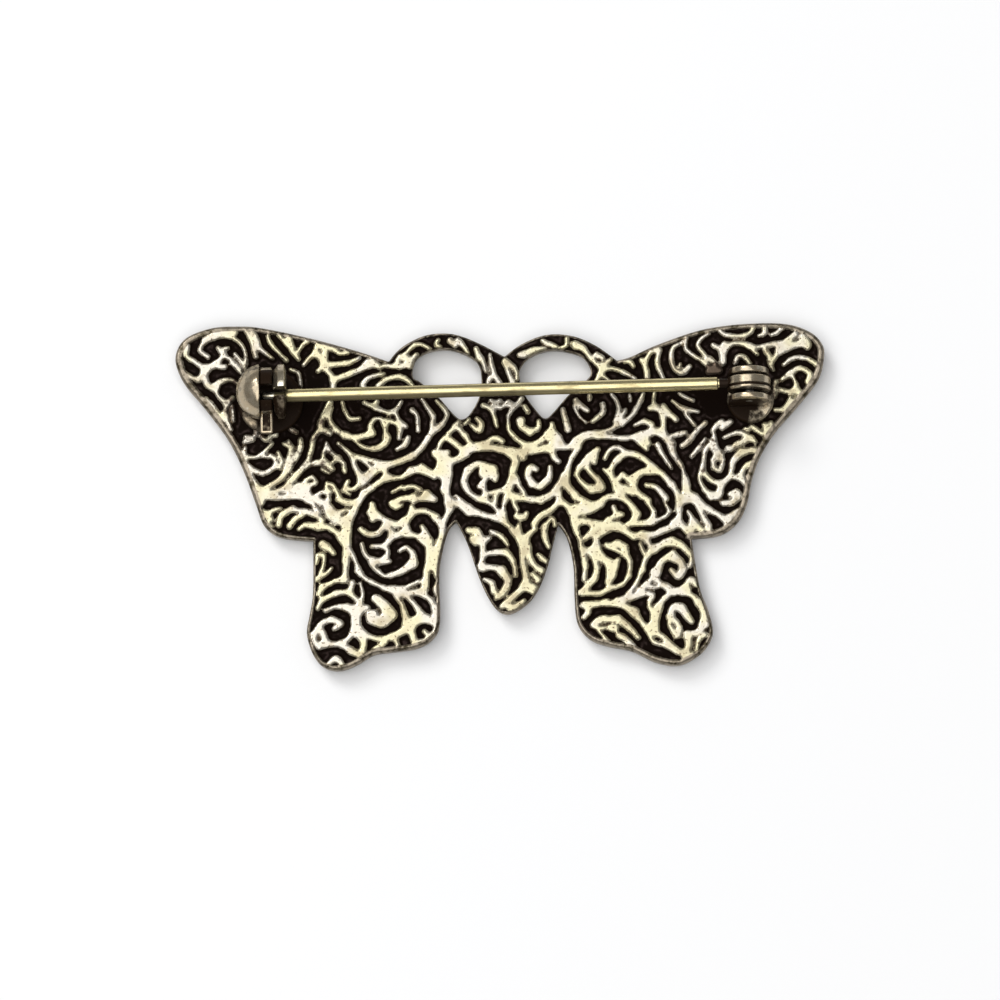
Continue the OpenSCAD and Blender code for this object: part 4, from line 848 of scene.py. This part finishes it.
def placed(steps, middle=OUTLINE_MIDDLE):
    """Chart steps in metres over the plate."""
    return (steps - middle) * STEP


def three_widths(row, count):
    """A value that runs from row's first number over its second to its third."""
    return np.interp(np.linspace(0, 1, count), (0, 0.5, 1), row[:3])


class Chart:
    """The plate's top as a grid of points, with the distance of each to the outline
    and to the scrolls. Inside is above zero."""

    def __init__(self, pitch):
        self.columns = round(WING_SPAN / pitch)
        self.rows = round(WING_HEIGHT / pitch)
        self.xs = np.linspace(-WING_SPAN / 2, WING_SPAN / 2, self.columns + 1)
        self.ys = np.linspace(-WING_HEIGHT / 2, WING_HEIGHT / 2, self.rows + 1)
        self.x, self.y = np.meshgrid(self.xs, self.ys)
        self.scroll = np.full(self.x.shape, -FAR)
        self.edge = np.full(self.x.shape, FAR)
        self.rim_width = np.zeros(self.x.shape)
        self.outline = []

    def window(self, a, b, margin):
        """The part of the grid within margin of the line from a to b."""
        low = np.minimum(a, b) - margin
        high = np.maximum(a, b) + margin
        columns = slice(*np.searchsorted(self.xs, (low[0], high[0])))
        rows = slice(*np.searchsorted(self.ys, (low[1], high[1])))
        return rows, columns

    def along(self, a, b, part):
        """For each point of a part of the grid, its place along a line and its distance."""
        line = b - a
        dx = self.x[part] - a[0]
        dy = self.y[part] - a[1]
        share = np.clip((dx * line[0] + dy * line[1]) / max(line @ line, TINY), 0, 1)
        return share, np.hypot(dx - share * line[0], dy - share * line[1])

    def add_stroke(self, row):
        """Measures from a scroll, and webs it with the ones that it meets."""
        line = placed(smooth_line(row[3:], parts=4), SCROLL_MIDDLE)
        half = three_widths(row, len(line)) / 2 * STEP.mean() + SPREAD
        part = self.window(line.min(0), line.max(0), half.max() + FAR)
        stroke = np.full(self.x[part].shape, -FAR)
        for a, b, wide_a, wide_b in zip(line, line[1:], half, half[1:]):
            share, far = self.along(a, b, part)
            np.maximum(stroke, wide_a + share * (wide_b - wide_a) - far, out=stroke)
        others = self.scroll[part]
        meeting = np.clip(1 - np.abs(others - stroke) / WEB, 0, 1)
        self.scroll[part] = np.maximum(others, stroke) + meeting**2 * WEB / 4

    def add_edge(self, line, widths):
        """Measures from a stretch of the outline, whose rim has the given widths."""
        self.outline.append((line[:-1], line[1:]))
        for a, b, width in zip(line, line[1:], widths):
            part = self.window(a, b, FAR)
            far = self.along(a, b, part)[1]
            nearer = far < self.edge[part]
            self.edge[part] = np.where(nearer, far, self.edge[part])
            self.rim_width[part] = np.where(nearer, width, self.rim_width[part])

    def uneven(self, size, seed):
        """Smooth random values from -1 to 1 over the plate, whose waves are size long."""
        across = np.arange(-WING_SPAN / 2, WING_SPAN / 2 + size, size)
        up = np.arange(-WING_HEIGHT / 2, WING_HEIGHT / 2 + size, size)
        knots = np.random.default_rng(seed).uniform(-1, 1, (len(up), len(across)))
        rows = np.array([np.interp(self.xs, across, row) for row in knots])
        return np.array([np.interp(self.ys, up, column) for column in rows.T]).T

    def close_outline(self):
        """Gives the points outside the outline a distance below zero."""
        starts = np.vstack([s for s, _ in self.outline])
        ends = np.vstack([e for _, e in self.outline])
        self.outline = (starts, ends)
        inside = np.zeros(self.x.shape, bool)
        for a, b in zip(starts, ends):
            low, high = sorted((a[1], b[1]))
            rows = slice(*np.searchsorted(self.ys, (low, high)))
            if rows.start < rows.stop:
                cross = a[0] + (self.ys[rows] - a[1]) * (b[0] - a[0]) / (b[1] - a[1])
                inside[rows] ^= self.xs < cross[:, None]
        self.edge[~inside] *= -1

    def to_outline(self, points):
        """The nearest points of the outline to some points."""
        starts, ends = self.outline
        line = ends - starts
        offset = points[:, None] - starts
        square = np.maximum((line**2).sum(1), TINY)
        share = np.clip((offset * line).sum(2) / square, 0, 1)
        gap = offset - share[..., None] * line
        nearest = (gap**2).sum(2).argmin(1)
        return points - gap[np.arange(len(points)), nearest]

    def inward(self):
        """The way from the outline into the plate, at each point."""
        slope_y, slope_x = np.gradient(self.edge, self.ys, self.xs)
        steep = np.maximum(np.hypot(slope_x, slope_y), 0.1)
        return slope_x / steep, slope_y / steep

    def snap_to_scrolls(self, pitch):
        """Moves the points next to a scroll's edge onto it, so that the edge is crisp."""
        beside = 0.42 * pitch
        most = 0.45 * pitch
        slope_y, slope_x = np.gradient(self.scroll, self.ys, self.xs)
        steep = np.maximum(slope_x**2 + slope_y**2, 0.3)
        near = (np.abs(self.scroll) < beside) & (self.edge > pitch)
        move = np.where(near, -self.scroll / steep, 0)
        self.x += np.clip(move * slope_x, -most, most)
        self.y += np.clip(move * slope_y, -most, most)
        self.scroll[near] = 0


def charted_plate(pitch):
    """The chart with its outline, loops and scrolls."""
    chart = Chart(pitch)
    for row in OUTLINE:
        line = placed(smooth_line(row[3:], parts=6))
        chart.add_edge(line, three_widths(row, len(line)) * STEP.mean())
    for row in LOOPS:
        line = placed(smooth_line(row[1:], parts=6, closed=True))
        line = np.vstack((line, line[:1]))
        chart.add_edge(line, np.full(len(line), row[0] * STEP.mean()))
    chart.close_outline()
    for row in SCROLLS:
        chart.add_stroke(row)
    chart.scroll += sum(much * chart.uneven(size, seed) for much, size, seed in WAVER)
    chart.snap_to_scrolls(pitch)
    return chart


def quarter_round(share):
    """Rises from 0 to 1 like a quarter circle."""
    share = np.clip(share, 0, 1)
    return np.sqrt(1 - (1 - share)**2)


def plate_heights(chart, settings):
    """Height of each point of the plate's top."""
    ground = settings.thickness - settings.relief
    scroll = quarter_round(chart.scroll / SHOULDER)
    foot = FOOT_HEIGHT * np.clip(1 + chart.scroll / FOOT, 0, 1)**2
    band = quarter_round((chart.rim_width - chart.edge) / SHOULDER) * RIM_HEIGHT
    height = ground + settings.relief * np.maximum(np.maximum(scroll, foot), band)
    radius = settings.edge_radius
    drop = radius * (1 - quarter_round(chart.edge / radius))
    return np.minimum(height, settings.thickness - drop)


def open_edges(bm):
    return [edge for edge in bm.edges if edge.is_boundary]


def once(items):
    """The items in their order, none of them twice."""
    return list(dict.fromkeys(items))


def trimmed_grid(chart, pitch):
    """A grid without the faces outside the outline. Its layer holds each point's number
    in the chart."""
    bm = bmesh.new()
    bmesh.ops.create_grid(bm, x_segments=chart.columns, y_segments=chart.rows, size=0.5)
    at = bm.verts.layers.int.new("at")
    for vert in bm.verts:
        column = round((vert.co.x + 0.5) * chart.columns)
        row = round((vert.co.y + 0.5) * chart.rows)
        vert[at] = row * (chart.columns + 1) + column
    kept = (chart.edge > -0.3 * pitch).ravel()
    outside = [face for face in bm.faces if not all(kept[vert[at]] for vert in face.verts)]
    bmesh.ops.delete(bm, geom=outside, context="FACES")
    while True:
        pinched = [v for v in bm.verts if sum(e.is_boundary for e in v.link_edges) > 2]
        if not pinched:
            return bm, at
        faces = once(face for vert in pinched for face in vert.link_faces)
        bmesh.ops.delete(bm, geom=faces, context="FACES")


def pull_down(bm, edges, to_place, height):
    """Draws the plate's open edge down as one more band of its side."""
    made = bmesh.ops.extrude_edge_only(bm, edges=edges)["geom"]
    for vert in (item for item in made if isinstance(item, bmesh.types.BMVert)):
        vert.co = (*to_place(vert), height)
    return [item for item in made if isinstance(item, bmesh.types.BMEdge)]


def build_plate(settings):
    """The closed plate, with its distances to the scrolls and the rim as attributes."""
    chart = charted_plate(settings.pitch)
    bm, at = trimmed_grid(chart, settings.pitch)

    # The open edge moves onto the outline, and every point to its height
    rim_verts = once(vert for edge in open_edges(bm) for vert in edge.verts)
    spots = np.array([vert[at] for vert in rim_verts])
    x = chart.x.ravel()
    y = chart.y.ravel()
    inward_x, inward_y = (way.ravel() for way in chart.inward())
    found = chart.to_outline(np.column_stack((x[spots], y[spots])))
    x[spots] = found[:, 0]
    y[spots] = found[:, 1]
    chart.edge.ravel()[spots] = 0
    height = plate_heights(chart, settings).ravel()
    for vert in bm.verts:
        k = vert[at]
        vert.co = (x[k], y[k], height[k])

    def drawn_in(distance):
        def place(vert):
            k = vert[at]
            return x[k] + inward_x[k] * distance, y[k] + inward_y[k] * distance
        return place

    # The side is drawn down from the open edge and closed by the plain front
    edges = open_edges(bm)
    top = settings.thickness - settings.edge_radius
    for turn in map(math.radians, SIDE_TURNS):
        inset = settings.front_draft * (1 - math.cos(turn))
        edges = pull_down(bm, edges, drawn_in(inset), top * (1 - math.sin(turn)))
    bmesh.ops.triangle_fill(bm, use_beauty=False, edges=edges, normal=(0, 0, -1))
    bmesh.ops.recalc_face_normals(bm, faces=bm.faces)

    scroll = bm.verts.layers.float.new("scroll_mm")
    rim = bm.verts.layers.float.new("rim_mm")
    edge = chart.edge.ravel()
    depth = chart.scroll.ravel() / MM
    band = (chart.rim_width - chart.edge).ravel() / MM
    for vert in bm.verts:
        k = vert[at]
        side = vert.co.z < top - 0.01 * MM and edge[k] == 0
        vert[scroll] = SIDE_SCROLL if side else depth[k]
        vert[rim] = SIDE_RIM if side else band[k]
    bm.verts.layers.int.remove(at)
    return bm


def add_piece(name, bm, material, body, replaced=(), sharp=40):
    """Makes an object of the mesh, shaded smooth but for its sharp edges."""
    limit = math.radians(sharp)
    for face in bm.faces:
        face.smooth = True
    for edge in bm.edges:
        edge.smooth = not edge.is_manifold or edge.calc_face_angle() < limit
    mesh = bpy.data.meshes.new(name)
    bm.to_mesh(mesh)
    bm.free()
    mesh.materials.append(material)
    piece = bpy.data.objects.new(name, mesh)
    bpy.context.scene.collection.objects.link(piece)
    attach(piece, body)
    if replaced:
        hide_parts(*replaced)


def on_pin(bm, origin):
    """Moves a mesh from the pin's line, with the hinge towards +X, to its place."""
    place = Matrix.Translation(origin) @ Matrix.Rotation(SKEW, 4, "Z")
    bmesh.ops.transform(bm, matrix=place, verts=bm.verts)
    return bm


def turned(profile, axis="X", steps=64):
    """A solid turned about an axis. The profile's points are (place along, radius)."""
    bm = bmesh.new()
    verts = [bm.verts.new((place, 0, radius)) for place, radius in profile]
    edges = [bm.edges.new(pair) for pair in zip(verts, verts[1:])]
    bmesh.ops.spin(
        bm, geom=verts + edges, cent=(0, 0, 0), axis=(1, 0, 0), angle=2 * math.pi,
        steps=steps, use_merge=True)
    bmesh.ops.remove_doubles(bm, verts=bm.verts, dist=0.0005 * MM)
    if axis == "Y":
        bmesh.ops.transform(bm, matrix=Matrix.Rotation(math.pi / 2, 4, "Z"), verts=bm.verts)
    if axis == "Z":
        bmesh.ops.transform(bm, matrix=Matrix.Rotation(-math.pi / 2, 4, "Y"), verts=bm.verts)
    bmesh.ops.recalc_face_normals(bm, faces=bm.faces)
    return bm


def arc(radius, start, end, steps):
    """Points along an arc, its ends in degrees."""
    turns = [math.radians(start + (end - start) * i / steps) for i in range(steps + 1)]
    return [(radius * math.cos(turn), radius * math.sin(turn)) for turn in turns]


def soften(bm, edges, size, segments):
    """Rounds off edges."""
    bmesh.ops.bevel(
        bm, geom=edges, offset=size, affect="EDGES", segments=segments, profile=0.5,
        material=-1, clamp_overlap=True)


def upright_plate(points, near, far, soft):
    """A flat shape along the pin, its points given as (along, up), with softened edges.
    It stands between two places across the pin."""
    bm = bmesh.new()
    face = bm.faces.new([bm.verts.new((along, near, up)) for along, up in points])
    made = bmesh.ops.extrude_face_region(bm, geom=[face])["geom"]
    other = [item for item in made if isinstance(item, bmesh.types.BMVert)]
    bmesh.ops.translate(bm, vec=(0, far - near, 0), verts=other)
    bmesh.ops.recalc_face_normals(bm, faces=bm.faces)
    corners = [edge for edge in bm.edges if edge.calc_face_angle() > math.radians(35)]
    soften(bm, corners, soft, segments=3)
    return bm


def slit(bm, width):
    """Cuts the pin's slot from a ring's bore up through its top, with softened edges."""
    low = SLOT_MIDDLE - width / 2
    high = SLOT_MIDDLE + width / 2
    for side in (low, high):
        parts = [*bm.verts, *bm.edges, *bm.faces]
        bmesh.ops.bisect_plane(bm, geom=parts, plane_co=(0, side, 0), plane_no=(0, 1, 0))
    cut = []
    for face in bm.faces:
        middle = face.calc_center_median()
        if low < middle.y < high and middle.z > 0:
            cut.append(face)
    bmesh.ops.delete(bm, geom=cut, context="FACES")
    walls = bmesh.ops.edgeloop_fill(bm, edges=open_edges(bm))["faces"]
    bmesh.ops.recalc_face_normals(bm, faces=bm.faces)
    around = once(edge for face in walls for edge in face.edges)
    soften(bm, around, size=0.05 * MM, segments=2)
    return bm


def join(target, other):
    """Adds another mesh to a mesh."""
    mesh = bpy.data.meshes.new("part")
    other.to_mesh(mesh)
    other.free()
    target.from_mesh(mesh)
    bpy.data.meshes.remove(mesh)


def add_pad(name, diameter, middle, scene, band, most, sides):
    """Models the low round pad under a finding, from the plate's ground to over its
    scrolls. A band round its rim is worn on the given sides, at most by a share."""
    plate = scene.brooch_plate
    radius = diameter / 2
    soft = 0.22 * MM
    top = plate.thickness + 0.3 * MM
    low = plate.thickness - plate.relief - 0.1 * MM
    corner = [(top - soft + h, radius - soft + r) for r, h in arc(soft, 0, 90, 5)]
    pad = turned([(low, 0), (low, radius), *corner, (top, 0)], axis="Z", steps=96)
    bmesh.ops.translate(pad, vec=(middle.x, middle.y, 0), verts=pad.verts)
    wear = pad_wear(radius, band, most, sides)
    metal = worn_metal(scene.brooch_findings, name + "_metal", middle, wear)
    add_piece(name, pad, metal, "plate")


class BROOCH_OT_plate(bpy.types.Operator):
    """Models the cast plate with its scrolls, rim and loops"""

    bl_idname = "brooch.plate"
    bl_label = "Cast plate"

    def execute(self, context):
        settings = context.scene.brooch_plate
        bm = build_plate(settings)
        add_piece(
            "cast_plate", bm, cast_metal(settings), "plate",
            ["butterfly_plate"], sharp=180)
        return {"FINISHED"}


class BROOCH_OT_catch(bpy.types.Operator):
    """Models the ball catch: its pad, dome and slotted disc"""

    bl_idname = "brooch.catch"
    bl_label = "Ball catch"

    def execute(self, context):
        sizes = context.scene.brooch_findings
        add_pad(
            "catch_pad", sizes.catch_pad_d, BALL + CATCH_PAD_SHIFT, context.scene,
            band=0.8 * MM, most=0.5, sides=[(-0.56, -0.83)])
        radius = sizes.ball_d / 2
        dome = self.dome(radius)
        metal = worn_metal(sizes, "dome_metal", BALL, dome_wear)
        add_piece("catch_dome", on_pin(dome, BALL), metal, "plate")
        left = GAP_LEFT + sizes.lock_gap
        disc = slit(self.disc(left, left + sizes.disc_thickness, radius), sizes.slot_width)
        metal = worn_metal(sizes, "disc_metal", BALL, disc_light_and_shade)
        add_piece("catch_disc", on_pin(disc, BALL), metal, "plate")
        return {"FINISHED"}

    def dome(self, radius):
        """The part of the ball on the wing tip's side, bored from the lock's gap."""
        face = GAP_LEFT
        rim = math.sqrt(radius**2 - face**2)
        soft = 0.14 * MM
        bore = 0.95 * MM
        bore_end = face - 0.55 * MM
        chamfer = 0.05 * MM
        start = math.degrees(math.acos(face / radius))
        return turned([
            (bore_end, 0), (bore_end, bore), (face - chamfer, bore), (face, bore + chamfer),
            (face, rim - soft), (face - soft * 0.3, rim - soft * 0.3),
            *arc(radius, start + 4, 180, 28)])

    def disc(self, left, right, radius):
        """The upright ring beside the gap, its left side swelling to a flat edge."""
        outer = radius - 0.06 * MM
        shoulder = outer - 0.16 * MM
        bulge = 0.34 * MM
        flat = 1.3 * MM
        return turned([
            (left, BORE), (left, flat), (left + bulge * 0.35, 1.8 * MM), (left + bulge, shoulder),
            (left + bulge + 0.1 * MM, outer), (right - 0.2 * MM, outer),
            (right - 0.1 * MM, shoulder), (right - 0.04 * MM, 1.75 * MM), (right, flat),
            (right, BORE), (left, BORE)], steps=96)


class BROOCH_OT_lock(bpy.types.Operator):
    """Models the lock that turns in the catch, with its lever"""

    bl_idname = "brooch.lock"
    bl_label = "Lock and lever"

    def execute(self, context):
        sizes = context.scene.brooch_findings
        play = 0.05 * MM
        left = GAP_LEFT + play
        right = GAP_LEFT + sizes.lock_gap - play
        radius = 2 * MM
        soft = 0.1 * MM
        wheel = turned([
            (left, BORE), (left, radius - soft), (left + soft, radius), (right - soft, radius),
            (right, radius - soft), (right, BORE), (left, BORE)], steps=96)
        wider = 0.6 * MM
        lock = slit(wheel, sizes.slot_width + wider)
        proud = 0.03 * MM
        root = -1.2 * MM
        join(lock, self.lever(left - proud, right + proud, root, -sizes.lever_reach))
        metal = worn_metal(sizes, "lock_metal", BALL, lock_wear_and_shade)
        add_piece(
            "lock_and_lever", on_pin(lock, BALL), metal, "lock",
            ["lock_roller"])
        return {"FINISHED"}

    def lever(self, left, right, near, far):
        """The lever's flat tab, with a shallow dished top inside a raised border."""
        bm = bmesh.new()
        bmesh.ops.create_cube(bm, size=1)
        thickness = 0.7 * MM
        bmesh.ops.scale(bm, vec=(right - left, near - far, thickness), verts=bm.verts)
        bmesh.ops.translate(bm, vec=((left + right) / 2, (near + far) / 2, 0), verts=bm.verts)
        soften(bm, list(bm.edges), size=0.14 * MM, segments=3)
        top = max(bm.faces, key=lambda face: face.calc_center_median().z)
        bmesh.ops.inset_region(bm, faces=[top], thickness=0.07 * MM, depth=0)
        bmesh.ops.inset_region(bm, faces=[top], thickness=0.1 * MM, depth=-0.14 * MM)
        bmesh.ops.recalc_face_normals(bm, faces=bm.faces)
        return bm


class BROOCH_OT_hinge(bpy.types.Operator):
    """Models the hinge: its pad, two cheeks and the rivet"""

    bl_idname = "brooch.hinge"
    bl_label = "Hinge"

    def execute(self, context):
        sizes = context.scene.brooch_findings
        add_pad(
            "hinge_pad", sizes.hinge_pad_d, RIVET + HINGE_PAD_SHIFT, context.scene,
            band=1.3 * MM, most=0.65, sides=[(0.4, -0.92), (-0.95, 0.3), (0.98, -0.2)])
        metal = worn_metal(sizes, "hinge_metal", RIVET, cheek_wear)
        radius = 1.65 * MM
        foot = context.scene.brooch_plate.thickness + 0.2 * MM - PIN_HEIGHT
        shape = [(-radius, foot), (radius, foot), *arc(radius, 0, 180, 36)]
        cheeks = {
            "hinge_cheek_upper": (0.8 * MM, 1.3 * MM),
            "hinge_cheek_lower": (-0.94 * MM, -1.4 * MM)}
        for name, (near, far) in cheeks.items():
            cheek = upright_plate(shape, near, far, soft=0.1 * MM)
            add_piece(name, on_pin(cheek, RIVET), metal, "plate")
        rivet = self.rivet(sizes.rivet_d / 2, half=1.44 * MM, dome=0.08 * MM)
        add_piece(
            "rivet", on_pin(rivet, RIVET), rivet_metal(), "plate",
            ["hinge_rivet"])
        return {"FINISHED"}

    def rivet(self, radius, half, dome):
        """The rivet across the pin, with low domed ends."""
        return turned([
            (-half, 0), (-half + dome * 0.3, radius * 0.6), (-half + dome, radius),
            (half - dome, radius), (half - dome * 0.3, radius * 0.6), (half, 0)],
            axis="Y", steps=40)


class BROOCH_OT_stem(bpy.types.Operator):
    """Models the pin: its round head, its wire and the needle point"""

    bl_idname = "brooch.stem"
    bl_label = "Pin stem"

    def execute(self, context):
        sizes = context.scene.brooch_findings
        head_r = sizes.head_d / 2
        wire = self.wire(sizes.stem_d / 2, head_r)
        droop = Matrix.Rotation((POINT_DROP + WIRE_LIFT) / REACH, 3, "Z")
        bmesh.ops.rotate(wire, cent=(0, 0, 0), matrix=droop, verts=wire.verts)
        bmesh.ops.translate(wire, vec=(0, WIRE_LIFT, 0), verts=wire.verts)
        metal = brass_wire(sizes)
        add_piece("pin_wire", on_pin(wire, RIVET), metal, "stem", ["pin_stem"])
        head = self.head(head_r, sizes.rivet_d / 2 + 0.05 * MM)
        metal = worn_metal(sizes, "pin_head_metal", RIVET, head_wear)
        add_piece("pin_head", on_pin(head, RIVET), metal, "stem")
        return {"FINISHED"}

    def wire(self, radius, head_r):
        """The needle point, the wire and the thin neck that runs into the head."""
        tip = -REACH + GAP_LEFT + 0.2 * MM
        needle = 0.32 * MM
        shoulder = -REACH + 1.66 * MM
        crown = [(shoulder + needle + h, radius - needle + r) for h, r in arc(needle, 180, 90, 5)]
        soft = 0.08 * MM
        end = -head_r - 0.78 * MM
        neck = 0.38 * MM
        neck_end = -head_r + 0.3 * MM
        return turned([
            (tip, 0), (tip + 0.04 * MM, 0.16 * MM), (tip + 0.18 * MM, 0.28 * MM),
            (tip + 1.2 * MM, needle), (shoulder, needle - 0.03 * MM), *crown,
            (-REACH * 0.5, radius), (end - soft, radius), (end, radius - soft), (end, neck),
            (neck_end, neck), (neck_end, 0)], steps=48)

    def head(self, outer, bore):
        """The round head, with a groove round it towards the tails."""
        half = 0.55 * MM
        soft = 0.08 * MM
        floor = outer - 0.16 * MM
        low, high = -0.3 * MM, -0.12 * MM
        return turned([
            (-half, bore), (-half, outer - soft), (-half + soft, outer), (low - soft / 2, outer),
            (low, floor), (high, floor), (high + soft / 2, outer), (half - soft, outer),
            (half, outer - soft), (half, bore), (-half, bore)], axis="Y", steps=96)


class BROOCH_OT_studio(bpy.types.Operator):
    """Sets the floor, the soft lights and the camera over the brooch"""

    bl_idname = "brooch.studio"
    bl_label = "Studio"

    def execute(self, context):
        scene = context.scene
        studio = scene.brooch_studio
        floor_reach = 3
        bm = bmesh.new()
        bmesh.ops.create_grid(bm, x_segments=1, y_segments=1, size=floor_reach)
        mesh = bpy.data.meshes.new("floor")
        bm.to_mesh(mesh)
        bm.free()
        mesh.materials.append(Shader("pale_floor").surface(
            Base_Color=tuple(studio.floor_colour), Roughness=0.85, Specular_IOR_Level=0.1))
        floor = bpy.data.objects.new("floor", mesh)
        scene.collection.objects.link(floor)
        world = bpy.data.worlds.new("studio_air")
        world.use_nodes = True
        air = world.node_tree.nodes["Background"].inputs
        air["Color"].default_value = COOL_AIR
        air["Strength"].default_value = studio.ambient
        scene.world = world
        self.light(
            "overhead_light", place=(-0.25, -0.15, 1.2), size=(1.7, 1.3), power=studio.overhead)
        self.light("side_light", place=(-0.5, 0.55, 0.8), size=(0.4, 0.4), power=studio.side)
        data = bpy.data.cameras.new("camera")
        data.lens = studio.lens
        data.clip_start = 0.01
        data.clip_end = 20
        camera = bpy.data.objects.new("camera", data)
        distance = studio.view_width * studio.lens / data.sensor_width
        back = Vector((0, -math.sin(studio.tilt), math.cos(studio.tilt)))
        stand = Matrix.Translation(Vector(VIEW_TARGET) + back * distance)
        camera.matrix_world = stand @ Matrix.Rotation(studio.tilt, 4, "X")
        scene.collection.objects.link(camera)
        scene.camera = camera
        scene.view_settings.view_transform = "Standard"
        return {"FINISHED"}

    def light(self, name, place, size, power):
        """A large rectangular light that faces the brooch."""
        data = bpy.data.lights.new(name, "AREA")
        data.shape = "RECTANGLE"
        data.size, data.size_y = size
        data.energy = power
        light = bpy.data.objects.new(name, data)
        light.location = place
        light.rotation_euler = (-Vector(place)).to_track_quat("-Z", "Y").to_euler()
        bpy.context.scene.collection.objects.link(light)


class BROOCH_PT_panel(bpy.types.Panel):
    """Lists the pieces of the brooch"""

    bl_label = "Brooch"
    bl_space_type = "VIEW_3D"
    bl_region_type = "UI"
    bl_category = "Brooch"

    def draw(self, context):
        for operator in OPERATORS:
            self.layout.operator(operator.bl_idname)
        for group in SETTINGS:
            settings = getattr(context.scene, group)
            for name in settings.bl_rna.properties.keys():
                if name not in ("rna_type", "name"):
                    self.layout.prop(settings, name)


SETTINGS = {
    "brooch_plate": PlateSettings,
    "brooch_findings": FindingSettings,
    "brooch_studio": StudioSettings,
}
OPERATORS = (
    BROOCH_OT_studio, BROOCH_OT_plate, BROOCH_OT_catch, BROOCH_OT_lock, BROOCH_OT_hinge,
    BROOCH_OT_stem,
)


def register():
    for name, group in SETTINGS.items():
        bpy.utils.register_class(group)
        setattr(bpy.types.Scene, name, bpy.props.PointerProperty(type=group))
    for operator in OPERATORS:
        bpy.utils.register_class(operator)
    bpy.utils.register_class(BROOCH_PT_panel)


def unregister():
    bpy.utils.unregister_class(BROOCH_PT_panel)
    for operator in reversed(OPERATORS):
        bpy.utils.unregister_class(operator)
    for name, group in SETTINGS.items():
        delattr(bpy.types.Scene, name)
        bpy.utils.unregister_class(group)


def main():
    register()
    bpy.ops.brooch.studio()
    bpy.ops.brooch.plate()
    bpy.ops.brooch.catch()
    bpy.ops.brooch.lock()
    bpy.ops.brooch.hinge()
    bpy.ops.brooch.stem()


if __name__ == "__main__":
    main()
